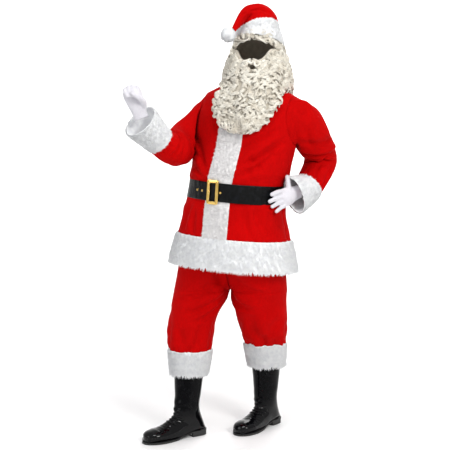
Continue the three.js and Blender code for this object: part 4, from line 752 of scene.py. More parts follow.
def panel_point(column, v, side, front):
    """A point of a quarter of the jacket. v runs from 0 at the hem's seam to 1 at the underarm, on
    the body's sections, and on to 2 at the shoulder line, on sections that close in to the ridge."""
    column, v = np.broadcast_arrays(np.asarray(column, float), np.asarray(v, float))
    level = HEM_TOP + (UNDERARM - HEM_TOP) * np.clip(v, 0, 1)
    half = body_at(level)["half"]
    angle = column_angle(column, half, 90.0)
    lower = body_point(side * (angle if front else 180 - angle), level)
    w = np.clip(v - 1, 0, 1) * panel_top(column, front)
    angle = column_angle(column, CHEST_HALF, widest_at(w))
    x = CHEST_HALF * power(np.sin(angle * RAD), 2 / BODY_POWER)
    c = power(np.cos(angle * RAD), 2 / BODY_POWER)
    deep = -CHEST_FRONT if front else CHEST_BACK
    rise = power(np.sin(w * math.pi / 2), 2 / RIDGE_POWER)
    fall = power(np.cos(w * math.pi / 2), 2 / RIDGE_POWER)
    foot = UNDERARM + body_at(UNDERARM)["tilt"] * side * x
    z = foot + (ridge_at(side * x) - foot) * rise
    upper = np.stack([body_at(z)["cx"] + side * x, deep * c * fall, z], -1)
    return np.where((v <= 1)[..., None], lower, upper)


def level_share(level):
    """A height as its share of the way from the hem's seam to the underarm."""
    return (level - HEM_TOP) / (UNDERARM - HEM_TOP)


BODY_MIDDLE = (-55, 0, 1200)


def jacket_quarters():
    """The points and outward directions of a coarse grid for each quarter, by front and side."""
    upper = [1 + (i + 1) / UPPER_ROWS for i in range(UPPER_ROWS)]
    rows = np.array([level_share(z) for z in LOWER_ROWS] + upper)
    quarters = {}
    for front in (True, False):
        for side in (1, -1):
            grid = panel_point(np.arange(COLUMNS + 1)[None, :], rows[:, None], side, front)
            quarters[front, side] = (grid, grid_normals(grid, False, BODY_MIDDLE)[0])
    return quarters


QUARTERS = jacket_quarters()


def clear_of_jacket(points, margin, quarters=tuple(QUARTERS)):
    """Moves points out along the jacket's nearest normal until they clear the cloth there."""
    near = np.concatenate([QUARTERS[q][0].reshape(-1, 3) for q in quarters])
    outs = np.concatenate([QUARTERS[q][1].reshape(-1, 3) for q in quarters])
    shape = points.shape
    flat = points.reshape(-1, 3).copy()
    margin = np.broadcast_to(margin, shape[:-1]).reshape(-1)
    for _ in range(3):
        distance = (flat ** 2).sum(1)[:, None] + (near ** 2).sum(1)[None] - 2 * flat @ near.T
        nearest = distance.argmin(1)
        short = margin - ((flat - near[nearest]) * outs[nearest]).sum(1)
        flat += outs[nearest] * np.maximum(short, 0)[:, None]
    return flat.reshape(shape)


def spread_from_body(points, margin):
    """Spreads points away from the body's axis until they lie outside the section at their height."""
    s = body_at(points[..., 2])
    t = np.clip((points[..., 2] - UNDERARM) / (ridge_at(points[..., 0]) - UNDERARM), 0, 1)
    fall = (1 - t ** RIDGE_POWER) ** (1 / RIDGE_POWER)
    deep = np.where(points[..., 1] < 0, s["front"], s["back"]) * np.maximum(fall, 0.05)
    across = (np.abs(points[..., 0] - s["cx"]) / s["half"]) ** BODY_POWER
    along = (np.abs(points[..., 1]) / deep) ** BODY_POWER
    reach = np.maximum((across + along) ** (1 / BODY_POWER), 1e-6)
    factor = np.where(fall < 0.3, 1, np.maximum((1 + margin / s["half"]) / reach, 1))
    moved = points.copy()
    moved[..., 0] = s["cx"] + (points[..., 0] - s["cx"]) * factor
    moved[..., 1] = points[..., 1] * factor
    return moved


# Jacket panels

PANEL_COLUMNS = np.linspace(0, COLUMNS, 46)
PANEL_ROWS = np.concatenate([np.linspace(0, 1, 62), np.linspace(1, 2, 50)[1:]])
COLUMN_WIDE = 23.0
SEAM_WIDE = 3.5


def pressed_by_belt(z):
    """Zero under the belt and one away from it."""
    return smooth(BELT_TOP + 2, BELT_TOP + 34, z) + smooth(BELT_BOTTOM - 2, BELT_BOTTOM - 34, z)


def panel_shape(side, front):
    """A quarter with its creases, the fullness above and below the belt, and its sunken side seam."""
    columns, rows = PANEL_COLUMNS, PANEL_ROWS
    grid = panel_point(columns[None, :], rows[:, None], side, front)
    normals, _ = grid_normals(grid, False, BODY_MIDDLE)
    z = grid[..., 2]
    free = pressed_by_belt(z) * smooth(0, 0.05, rows)[:, None]
    off_band = smooth(BAND_COLUMNS, BAND_COLUMNS + 1.5, columns)[None, :] if front else 1.0
    edge = smooth(COLUMNS, COLUMNS - 0.8, columns)[None, :]
    depth = troughs(grid[..., 0], z, FRONT_CREASES if front else BACK_CREASES) * off_band * edge
    full = 4.5 * (np.exp(-((z - BELT_TOP - 30) / 26) ** 2) + np.exp(-((z - BELT_BOTTOM + 30) / 26) ** 2))
    puckers = 1.8 * np.sin(columns * 4.1 + side)[None, :] * np.exp(
        -(np.minimum(abs(z - BELT_TOP - 8), abs(z - BELT_BOTTOM + 8)) / 22) ** 2) * off_band * edge
    move = (full * off_band * edge + puckers - depth + uneven(grid, 150, 1.6, 5) * off_band) * free
    gap = (COLUMNS - columns) * COLUMN_WIDE
    move = move - 1.6 * np.exp(-(gap / SEAM_WIDE) ** 2)[None, :] * smooth(1.0, 0.92, rows)[:, None]
    return grid + normals * move[..., None]


def jacket():
    """Two fronts and a back, which is one piece from side seam to side seam."""
    for side, node in ((1, "jacket_left_front"), (-1, "jacket_right_front")):
        cloth(node, panel_shape(side, True), False, inside=BODY_MIDDLE)
    grid = np.concatenate([panel_shape(-1, False)[:, :0:-1], panel_shape(1, False)], 1)
    cloth("jacket_back", grid, False, inside=BODY_MIDDLE)


jacket()


# Fur trims: a thin padded core on the band's own form, with tufts over it

FRINGE_THINNER = 14


def trim(node, base, pile, inner, count, long, droop, seed, wide=3.8, ragged=1.9):
    """A round band from its base grid. The core's outer side stands out by part of the pile's height,
    and the tufts, rooted in it, reach a little past that height. A ragged fringe of longer ones
    hangs from the band's lower edge."""
    name = node + "_fur"
    normals, sign = grid_normals(base, True)
    if pile.ndim == 1:
        pile = pile[:, None] * np.ones(base.shape[1])[None, :]
    soft = uneven(base, 34, 1.1, seed) + uneven(base, 13, 0.6, seed + 1)
    outer = base + normals * (np.maximum(pile * 0.42 + soft * 0.8, 0.8))[..., None]
    core = put(name, *closed_wall(outer, base + normals * inner, True, sign), FUR_COOL, "white_fur", [node])
    tufts(name + "_pile", outer, True, normals, FUR_COOL, count, long, wide, droop, seed)
    ends = outer[[-2, -1]]
    beyond = unit(ends[1] - outer[-4]) + 0.3 * normals[-1]
    tufts(name + "_fringe", ends, True, np.stack([unit(beyond)] * 2), FUR_COOL, count // FRINGE_THINNER,
          long * ragged, 3.7 * ragged, 0.3, seed + 9, swirl=0.7, lit=np.stack([normals[-1]] * 2))


def front_band():
    """The fronts' own points beside the opening, flattened where the belt crosses."""
    columns = np.linspace(-BAND_COLUMNS, BAND_COLUMNS, 25)
    rows = np.concatenate([np.linspace(0, 1, 90), np.linspace(1, 2, 50)[1:]])
    left = panel_point(np.maximum(columns, 0)[None, :], rows[:, None], 1, True)
    right = panel_point(np.maximum(-columns, 0)[None, :], rows[:, None], -1, True)
    grid = np.where((columns >= 0)[None, :, None], left, right)
    z = HEM_TOP + (UNDERARM - HEM_TOP) * np.clip(rows, 0, 1)
    pressed = (1 - smooth(BELT_TOP, BELT_TOP + 30, z)) - (1 - smooth(BELT_BOTTOM - 30, BELT_BOTTOM, z))
    edge = 1 - 0.45 * smooth(1.5, 2, np.abs(columns))
    pile = (9 * edge)[None, :] * (1 - pressed)[:, None] + 2.4 * pressed[:, None] * np.ones(25)
    normals, sign = grid_normals(grid, False, BODY_MIDDLE)
    soft = (uneven(grid, 40, 1.0, 31) + uneven(grid, 12, 0.5, 32)) * (1 - pressed)[:, None]
    outer = grid + normals * (np.maximum(pile * 0.45 + soft, 0.8))[..., None]
    core = put("jacket_front_band_fur", *closed_wall(outer, grid + normals * 0.3, False, sign),
               FUR_WARM, "white_fur", ["jacket_front_band"])
    free = (1 - pressed)[:-1, None] * np.ones(24)[None, :] + 1e-6
    tufts("jacket_front_band_pile", outer, False, normals, FUR_WARM, count=11000, long=9.5, wide=3.6,
          droop=0.5, seed=33, weight=free)


def hem_band():
    """One strip round the jacket's lower edge, on the body's sections."""
    angles = np.linspace(0, 360, 181)[:-1]
    share = np.array([0, 0.03, 0.08, 0.16, 0.28, 0.4, 0.52, 0.64, 0.76, 0.86, 0.94, 0.98, 1])
    level = HEM_TOP + (HEM_BOTTOM - HEM_TOP) * share
    grid = body_point(angles[None, :], level[:, None])
    profile = np.array([0.45, 0.75, 0.92, 1, 1, 1, 1, 1, 0.97, 0.9, 0.75, 0.5, 0.3])
    wave = 1 + 0.12 * np.sin(angles * 7 * RAD) * share[-1]
    pile = 12 * profile[:, None] * wave[None, :]
    trim("jacket_hem_band", grid, pile, inner=-2, count=20000, long=11.5, droop=0.75, seed=41)


front_band()
hem_band()


# Sleeves and their cuffs

# Rings of each sleeve: the middle, the arm's direction, and the half sizes under and across.
RIGHT_SLEEVE = [
    (-245, -55, 1347, -0.6, -0.6, -0.5, 92, 66),
    (-272, -114, 1310, -0.2, -0.9, -0.35, 88, 62),
    (-272, -178, 1288, -0.02, -0.97, -0.2, 82, 68),
    (-262, -236, 1279, -0.15, -0.97, 0.08, 76, 72),
    (-266, -282, 1285, -0.27, -0.8, 0.5, 66, 66),
    (-276, -323, 1305, -0.27, -0.74, 0.61, 57, 57),
    (-317, -416, 1387, -0.27, -0.74, 0.61, 74, 74),
]
LEFT_SLEEVE = [
    (220, 50, 1375, 0.6, 0.5, -0.62, 94, 84),
    (240, 112, 1312, 0.2, 0.6, -0.77, 80, 82),
    (250, 156, 1266, 0.05, 0.45, -0.88, 76, 77),
    (250, 186, 1224, -0.1, -0.05, -0.99, 74, 71),
    (243, 163, 1178, -0.2, -0.5, -0.84, 68, 67),
    (222, 112, 1113, -0.245, -0.753, -0.61, 62, 62),
    (208, -20, 1078, -0.4, -0.89, -0.2, 80, 52),
]
# Creases in the sleeves: place round from the underarm and along from the armhole, as shares.
RIGHT_FOLDS = [
    (0.40, 0.67, 0.05, 0.62, 12, 10),
    (0.42, 0.85, 0.08, 0.83, 9, 9),
    (0.27, 0.43, -0.02, 0.46, 10, 10),
    (0.34, 0.76, 0.14, 0.73, 6, 7),
    (0.55, 0.35, 0.56, 0.80, 7, 12),
    (0.66, 0.45, 0.62, 0.97, 6, 11),
    (0.80, 0.50, 0.78, 0.98, 6, 12),
    (0.93, 0.55, 0.95, 0.96, 6, 11),
    (0.48, 0.62, 0.66, 0.70, 8, 12),
    (0.08, 0.30, 0.20, 0.44, 7, 13),
]
LEFT_FOLDS = [
    (0.12, 0.24, 0.38, 0.36, 11, 12),
    (-0.03, 0.32, 0.40, 0.53, 13, 12),
    (0.00, 0.80, 0.22, 0.55, 12, 11),
    (0.02, 0.58, 0.30, 0.64, 9, 10),
    (0.22, 0.14, 0.16, 0.30, 7, 12),
    (0.30, 0.74, 0.36, 0.98, 6, 11),
    (0.18, 0.80, 0.20, 0.99, 6, 10),
    (0.60, 0.40, 0.80, 0.52, 6, 14),
    (0.75, 0.66, 0.90, 0.80, 6, 13),
    (0.52, 0.76, 0.50, 0.99, 6, 11),
    (0.70, 0.82, 0.68, 0.99, 6, 11),
    (0.92, 0.78, 0.94, 0.98, 6, 11),
]
AROUND = 18
FINER = 5
SLEEVE_STEPS = 2
JACKET_CLEAR = 19
SLEEVE_ROUND = 480.0
SLEEVE_LONG = 430.0


def sleeve_rings(rows):
    """Each row's ellipse: its long axis points under the arm, as near as the arm's direction lets it."""
    under = np.array([0, 0, -1.0])
    turn = turns(AROUND)
    flip = None
    rings = []
    for x, y, z, tx, ty, tz, low, wide in rows:
        along = unit(np.array([tx, ty, tz], float))
        under = unit(under - along * under.dot(along))
        across = unit(np.cross(along, under))
        if flip is None:
            flip = -1 if across[1] > 0 else 1
        across = across * flip
        rings.append(np.array([x, y, z], float) + low * np.cos(turn)[:, None] * under
                     + wide * np.sin(turn)[:, None] * across)
    return rings


def armhole(side, count):
    """The panels' outer edge: up the front from the underarm and down the back."""
    share = np.arange(count) / count
    front = panel_point(float(COLUMNS), 1 + np.clip(2 * share, 0, 1), side, True)
    back = panel_point(float(COLUMNS), 1 + np.clip(2 * (1 - share), 0, 1), side, False)
    return np.where((share <= 0.5)[:, None], front, back)


def finer_round(grid, times):
    """More points round each ring, on periodic cubic curves through its own."""
    columns = grid.shape[1]
    at = np.arange(columns * times) / times
    i = np.floor(at).astype(int)
    t = (at - i)[None, :, None]
    p0, p1, p2, p3 = (grid[:, (i + k) % columns] for k in (-1, 0, 1, 2))
    return cubic(t, p1, (p2 - p0) / 2, p2, (p3 - p1) / 2)


def sleeve(side, rows, folds, name, seed):
    """From the armhole through the rings, kept clear of the jacket, then creased and drawn into the
    cuff's seam by small gathers."""
    rings = sleeve_rings(rows)
    grid = carried([armhole(side, AROUND), *rings[:-1]], SLEEVE_STEPS)
    margin = JACKET_CLEAR * np.clip((np.arange(len(grid)) + 2) / 5, 0, 1)[1:, None] * np.ones(AROUND)
    spread = spread_from_body(grid[1:], margin)
    grid[1:] = clear_of_jacket(spread, margin * 0.6, ((True, side), (False, side)))
    grid = finer_round(carried(grid, 6), FINER)
    exact = armhole(side, AROUND * FINER)
    grid[:6] += (exact - grid[0])[None] * (1 - np.arange(6) / 6)[:, None, None]
    normals, _ = grid_normals(grid, True)
    share = np.arange(grid.shape[1]) / grid.shape[1]
    along = np.linspace(0, 1, len(grid))
    folds = [(a * SLEEVE_ROUND, b * SLEEVE_LONG, c * SLEEVE_ROUND, d * SLEEVE_LONG, deep, wide)
             for a, b, c, d, deep, wide in folds]
    depth = troughs(share[None, :] * SLEEVE_ROUND, along[:, None] * SLEEVE_LONG, folds, SLEEVE_ROUND)
    gather = 2.4 * np.sin(share * 2 * math.pi * 17 + 1.5 * np.sin(share * 12.566))[None, :]
    gather = gather * smooth(0.86, 1, along)[:, None]
    ends = smooth(0.02, 0.2, along)[:, None]
    move = (-depth + uneven(grid, 120, 2.0, seed)) * ends + gather
    grid = grid + normals * move[..., None]
    cloth(name + "_sleeve", grid, True)
    cuff = finer_round(carried(rings[-3:], 14)[14:], FINER)
    profile = np.interp(
        np.linspace(0, 1, len(cuff)), [0, 0.06, 0.2, 0.85, 0.95, 1], [0.4, 0.8, 1, 1, 0.8, 0.35])
    trim(name + "_sleeve_cuff", cuff, 8 * profile, inner=-2, count=8000, long=9.5, droop=0.15, seed=seed,
         wide=3.6, ragged=1.1)


sleeve(-1, RIGHT_SLEEVE, RIGHT_FOLDS, "right", seed=51)
sleeve(1, LEFT_SLEEVE, LEFT_FOLDS, "left", seed=61)


# Belt, buckle and eyelets

BELT_END = 5
BELT_THICK = 2.6
BELT_STEPS = 5
BELT_ROWS = 13
BUCKLE_AT = -18
BUCKLE_WIDE = 55
BUCKLE_HIGH = 105
BUCKLE_BAR = 13.5
BUCKLE_THICK = 4.5
EYELETS_AT = (-103, -74, 15)
EYELET_RADIUS = 3.6


def belt_run():
    """The strap's way: side, front or back, and column at each step, from behind the buckle all round."""
    runs = [(1, True, 0, COLUMNS), (1, False, COLUMNS, 0), (-1, False, 0, COLUMNS), (-1, True, COLUMNS, 0),
            (1, True, 0, BELT_END)]
    stops = []
    for k, (side, front, start, end) in enumerate(runs):
        count = abs(end - start) * BELT_STEPS
        columns = start + (end - start) * np.arange(count + (k == len(runs) - 1)) / count
        stops += [(side, front, column) for column in columns]
    return stops


def belt():
    """Rows at heights across the strap, on the jacket's sections, moved out over the band and over
    the strap's own start. Shallow crosswise waves wrinkle it."""
    stops = belt_run()
    levels = np.linspace(BELT_BOTTOM, BELT_TOP, BELT_ROWS)
    grid = np.stack([panel_point(column, level_share(levels), side, front)
                     for side, front, column in stops], 1)
    normals, sign = grid_normals(grid, False, (-73, 0, 1091))
    column = np.array([stop[2] for stop in stops])
    front = np.array([stop[1] for stop in stops])
    s = np.arange(len(stops)) / BELT_STEPS
    from_end = s[::-1]
    gap = 0.3 + 3.5 * np.where(front, np.clip(BAND_COLUMNS + 2 - column, 0, 1), 0)
    gap = gap + smooth(8.5, 6, from_end) * (BELT_THICK + 0.5)
    t = np.linspace(0, 1, BELT_ROWS)[:, None]
    wave = np.sin(s * 5.3 + 2 * np.sin(s * 1.3))[None, :] * np.sin(math.pi * t) * 0.5
    wave = wave + 0.45 * np.sin(s * 11 + 5 * t + np.sin(s * 2.1)) * np.sin(math.pi * t)
    edge = 0.5 * (1 - np.exp(-((np.minimum(t, 1 - t)) / 0.035) ** 2))
    outer = grid + normals * (gap[None, :] + BELT_THICK - 1.1 + edge + 0.7 * wave)[..., None]
    inner = grid + normals * gap[None, :, None]
    obj = put("belt_strap_vinyl", *closed_wall(outer, inner, False, sign), VINYL, "black_vinyl",
              ["belt_strap"])
    declare(grid, False)


def on_belt(x):
    """Point, direction along the belt, direction up and outward normal at a distance from the middle."""
    level = (BELT_TOP + BELT_BOTTOM) / 2
    angle = math.copysign(1, x) * angle_at(abs(x), body_at(level)["half"])
    point = body_point(angle, level)
    along = unit(body_point(angle + 2, level) - body_point(angle - 2, level))
    up = body_point(angle, level + 10) - body_point(angle, level - 10)
    out = unit(np.cross(along, up))
    return point, along, np.cross(out, along), out


def standing(node, point, out):
    """How far the source's own solid stands out from a point on the belt."""
    mesh = bpy.data.objects[node].data
    corners = np.array([v.co for v in mesh.vertices]) * 1000 + np.array([0, 0, SHOULDER_HEIGHT])
    return ((corners - point) @ out).min()


def swept(name, path, first, out, profile, node):
    """A closed golden profile carried along a closed path, on each point's first direction and out."""
    grid = path[:, None] + profile[None, :, :1] * first[:, None] + profile[None, :, 1:] * out
    rows, columns = grid.shape[:2]
    i, j = np.meshgrid(np.arange(rows), np.arange(columns), indexing="ij")
    n, k = (i + 1) % rows, (j + 1) % columns
    faces = np.stack([i * columns + j, i * columns + k, n * columns + k, n * columns + j], -1)
    faces = faces.reshape(-1, 4)
    corners = grid.reshape(-1, 3)[faces]
    volume = (corners[:, 0] * np.cross(corners[:, 1], corners[:, 2])).sum() + (
        corners[:, 0] * np.cross(corners[:, 2], corners[:, 3])).sum()
    if volume < 0:
        faces = faces[:, ::-1]
    put(name, grid, faces, GOLD, "gold_metal", [node])


def rounded_rectangle(wide, high, radius, per_corner):
    """Points and outward directions round a rectangle with round corners."""
    points, outs = [], []
    for k, (sx, sy) in enumerate(((1, 1), (-1, 1), (-1, -1), (1, -1))):
        turn = (np.linspace(0, 90, per_corner) + 90 * k) * RAD
        out = np.stack([np.cos(turn), np.sin(turn)], -1)
        centre = np.array([sx * (wide / 2 - radius), sy * (high / 2 - radius)])
        points.append(centre + radius * out)
        outs.append(out)
    return np.concatenate(points), np.concatenate(outs)


def buckle():
    """A flat bar of rounded section carried round a rectangle, standing on the strap."""
    point, along, up, out = on_belt(BUCKLE_AT)
    path, outs = rounded_rectangle(BUCKLE_WIDE - BUCKLE_BAR, BUCKLE_HIGH - BUCKLE_BAR, 2.2, 5)
    section, _ = rounded_rectangle(BUCKLE_BAR, BUCKLE_THICK, 1.6, 4)
    centre = point + out * (standing("belt_buckle_frame", point, out) + BUCKLE_THICK / 2)
    path = centre + path[:, :1] * along + path[:, 1:] * up
    spread = unit(outs[:, :1] * along + outs[:, 1:] * up)
    swept("belt_buckle_gold", path, spread, out, section, "belt_buckle_frame")


def eyelets():
    """Rolled rings: a round section carried round a circle that lies on the strap."""
    turn, small = turns(28), turns(10)
    section = np.stack([1.5 * np.cos(small), 1.0 * np.sin(small)], -1)
    for k, x in enumerate(EYELETS_AT):
        node = "belt_eyelet_%d" % (k + 1)
        point, along, up, out = on_belt(x)
        spoke = np.cos(turn)[:, None] * along + np.sin(turn)[:, None] * up
        path = point + out * (standing(node, point, out) + 0.7) + spoke * EYELET_RADIUS
        swept(node + "_gold", path, spoke, out, section, node)


belt()
buckle()
eyelets()


# Trousers

CROTCH = 650
LEG_TURN = 19
LEG_HALF_ROUND = 190
LEG_FOLD_DEEPER = 1.5
WAIST = 1070
LEG_POWER = 2.1
SEAT = table(
    "z cx cy half front back turn",
    (650, -106, 4, 254, 122, 128, 19),
    (760, -98, 0, 240, 160, 165, 12),
    (893, -88, 0, 222, 172, 158, 5),
    (1000, -81, 0, 209, 172, 146, 0),
    (1070, -75, 0, 203, 178, 137, 0),
)
RIGHT_LEG = table(
    "z cx cy half deep",
    (383, -264, -88, 92, 92),
    (425, -267, -82, 98, 100),
    (520, -261, -64, 106, 110),
    (600, -240, -45, 120, 119),
    (650, -226, -37, 127, 125),
)
LEFT_LEG = table(
    "z cx cy half deep",
    (397, 8, 133, 90, 92),
    (435, 10, 115, 104, 102),
    (520, 15, 82, 113, 112),
    (600, 10, 56, 124, 119),
    (650, 14, 45, 127, 125),
)
# Creases in each leg: place round, 0 outside, 1 inside, with the back as 2 to 1, and height.
LEG_FOLDS = {
    -1: [(0.9, 745, 0.84, 690, 11, 13), (0.82, 716, 0.3, 610, 5, 13), (0.95, 660, 0.55, 560, 9, 16),
         (0.98, 620, 0.7, 520, 6, 13), (0.25, 470, 0.2, 392, 6, 12), (0.5, 480, 0.46, 390, 6, 11),
         (0.78, 500, 0.7, 392, 7, 12), (0.1, 560, 0.3, 470, 5, 16),
         (1.05, 655, 1.4, 560, 8, 16), (1.3, 470, 1.25, 392, 6, 12), (1.6, 500, 1.62, 395, 7, 13),
         (1.85, 470, 1.8, 392, 6, 12), (1.5, 760, 1.3, 650, 6, 18)],
    1: [(0.88, 730, 0.5, 640, 6, 13), (0.95, 655, 0.6, 570, 8, 15), (0.55, 540, 0.4, 418, 7, 13),
        (0.2, 520, 0.25, 405, 7, 14),
        (0.75, 500, 0.7, 405, 6, 11), (0.9, 560, 0.86, 430, 7, 13), (0.35, 450, 0.38, 402, 5, 9),
        (1.05, 655, 1.4, 570, 8, 16), (1.3, 480, 1.28, 405, 6, 12), (1.62, 520, 1.6, 405, 7, 13),
        (1.85, 500, 1.9, 402, 6, 12), (1.5, 760, 1.35, 650, 6, 18)],
}


def leg_point(side, front, share, z):
    """A point of a leg. Below the crotch each leg is its own superellipse. Above it the two sections
    open towards each other until they make one round waist."""
    share, z = np.broadcast_arrays(np.asarray(share, float), np.asarray(z, float))
    leg = RIGHT_LEG if side < 0 else LEFT_LEG
    low = {column: read(leg, "z", z, column) for column in ("cx", "cy", "half", "deep")}
    high = {column: read(SEAT, "z", z, column) for column in ("cx", "cy", "half", "front", "back", "turn")}
    closing = 1 - np.clip((z - CROTCH) / (WAIST - CROTCH), 0, 1) ** 0.45
    widest = np.where(z >= CROTCH, 90 + 90 * closing, 180.0)
    c = power(np.cos(share * widest * RAD), 2 / LEG_POWER)
    n = power(np.sin(share * widest * RAD), 2 / LEG_POWER)
    turn = LEG_TURN * RAD * smooth(CROTCH - 200, CROTCH, z)
    x, y = turned(side * low["half"] * c, (-1 if front else 1) * low["deep"] * n, turn)
    lower = np.stack([low["cx"] + x, low["cy"] + y, z], -1)
    inner = power(np.cos(widest * RAD), 2 / LEG_POWER)
    x = side * high["half"] / (1 - inner) * (c - inner)
    lift = body_at(z)["tilt"] * smooth(700, 1000, z) * x
    x, y = turned(x, -high["front"] * n if front else high["back"] * n, high["turn"] * RAD)
    upper = np.stack([high["cx"] + x, high["cy"] + y, z + lift], -1)
    return np.where((z >= CROTCH)[..., None], upper, lower)


def gather(angle, z, bottom):
    """Waves that grow towards the trim, at the source's own angles, with finer ones between."""
    low = 1 - smooth(bottom, bottom + 90, z)
    broad = 4 * np.sin(9 * angle * RAD) + 3 * np.sin(5 * angle * RAD + 1)
    fine = 1.6 * np.sin(23 * angle * RAD + 2) * (1 - smooth(bottom, bottom + 45, z))
    return low * broad + fine


def leg_grid(side, front):
    """A trouser panel from the waist down, with its creases, gathers and sunken seams."""
    bottom = (RIGHT_LEG if side < 0 else LEFT_LEG)["z"][0]
    levels = np.concatenate([np.linspace(WAIST, CROTCH + 40, 34), np.linspace(CROTCH + 36, CROTCH, 10),
                             np.linspace(CROTCH - 4, bottom, 58)])
    share = np.linspace(0, 1, 44)
    grid = leg_point(side, front, share[None, :], levels[:, None])
    normals, _ = grid_normals(grid, False)
    place = share if front else 2 - share
    folds = [(a * LEG_HALF_ROUND, b, c * LEG_HALF_ROUND, d, LEG_FOLD_DEEPER * deep, wide)
             for a, b, c, d, deep, wide in LEG_FOLDS[side]]
    depth = troughs(place[None, :] * LEG_HALF_ROUND, levels[:, None], folds)
    ends = smooth(0, 0.08, share) * smooth(1, 0.92, share)
    seam = 1.4 * np.exp(-(np.minimum(share, 1 - share) * LEG_HALF_ROUND / SEAM_WIDE) ** 2)
    move = gather(share[None, :] * 180, levels[:, None], bottom) * ends[None, :]
    move = move + (uneven(grid, 130, 2.0, 71 + side) - depth) * ends[None, :]
    move = move - seam[None, :] * smooth(CROTCH + 6, CROTCH - 10, levels)[:, None]
    outward = normals * (1.0 if (normals[..., 1] * (-1 if front else 1)).sum() > 0 else -1.0)
    return grid + outward * move[..., None]


def trousers():
    """Four panels and two cuffs."""
    for side, word in ((-1, "right"), (1, "left")):
        for front, half in ((True, "front"), (False, "back")):
            grid = leg_grid(side, front)
            middle = grid.mean((0, 1)) * np.array([1, 0, 1]) + np.array([0, 90 if front else -90, 0])
            cloth("trousers_%s_%s" % (word, half), grid, False, inside=middle)
        leg_cuff(side, word)


def leg_cuff(side, word):
    """The trousers' lower edge, made smooth, drawn in by an eighth and moved towards the foot as it
    falls."""
    front = leg_grid(side, True)[-1]
    back = leg_grid(side, False)[-1]
    ring = np.concatenate([front, back[-2:0:-1]])
    centre = ring.mean(0)
    plain = centre + 1.035 * (np.mean([np.roll(ring, k, 0) for k in range(-6, 7)], 0) - centre)
    share = np.array([0, 0.05, 0.12, 0.25, 0.4, 0.55, 0.7, 0.83, 0.93, 1])
    s = share[:, None, None]
    step = np.array([-1, -8, 0]) if side < 0 else np.array([-3, 22, 0])
    form = ring[None] + (plain - ring)[None] * smooth(0, 0.12, s)
    flat = (form - centre) * np.array([1, 1, 0]) * (1 - 0.13 * s)
    height = ring[None, :, 2:] * np.array([0, 0, 1]) - 100 * s * np.array([0, 0, 1])
    grid = centre * np.array([1, 1, 0]) + flat + s * step + height
    pile = 11 * np.interp(share, [0, 0.1, 0.4, 0.85, 1], [0.45, 0.9, 1, 0.95, 0.4])
    trim("trousers_%s_leg_cuff" % word, grid, pile, inner=-2, count=9000, long=12.5, droop=0.8,
         seed=81 + side)


trousers()


# Head: hair, wig and beard

HEAD = (22, 10, 10)
HAIR_FORM = table(
    "z half front back",
    (1345, 36, 204, 90), (1375, 92, 208, 95), (1410, 124, 200, 100), (1449, 144, 190, 105),
    (1490, 152, 180, 112), (1532, 151, 162, 122), (1575, 149, 142, 128), (1613, 144, 130, 130),
    (1668, 126, 118, 126), (1717, 106, 110, 116), (1750, 97, 104, 108), (1772, 92, 98, 102),
    (1786, 82, 88, 90), (1797, 58, 62, 64),
)
HAIR_THICK = 14
SEAM_ANGLE = 62


def head_point(right, back, z):
    """A point from its place right of, behind and above the head's middle."""
    x, y = turned(right, back, HEAD[2] * RAD)
    return np.stack(np.broadcast_arrays(HEAD[0] + x, HEAD[1] + y, z), -1).astype(float)


def hair_point(angle, z, grow):
    """The hair's outer form: half ellipses to the front and to the back. Angle 0 is the face's middle."""
    half = read(HAIR_FORM, "z", z, "half") + grow
    front = read(HAIR_FORM, "z", z, "front") + grow
    back = read(HAIR_FORM, "z", z, "back") + grow
    c = np.cos(angle * RAD)
    return head_point(half * np.sin(angle * RAD), np.where(c > 0, -front * c, -back * c), z)


def front_at(x, z):
    """How far forward the jacket's front lies."""
    s = body_at(z)
    across = np.minimum(np.abs(x - s["cx"]) / s["half"], 1)
    deep = s["front"] * (1 - across ** BODY_POWER) ** (1 / BODY_POWER)
    t = np.clip((z - UNDERARM) / (ridge_at(x) - UNDERARM), 0, 1)
    return -deep * (1 - t ** RIDGE_POWER) ** (1 / RIDGE_POWER)


MOUTH_ANGLE = 2.0
MOUTH_HEIGHT = 1618.0
CHIN = 1560
BAND_REACH = 97.5


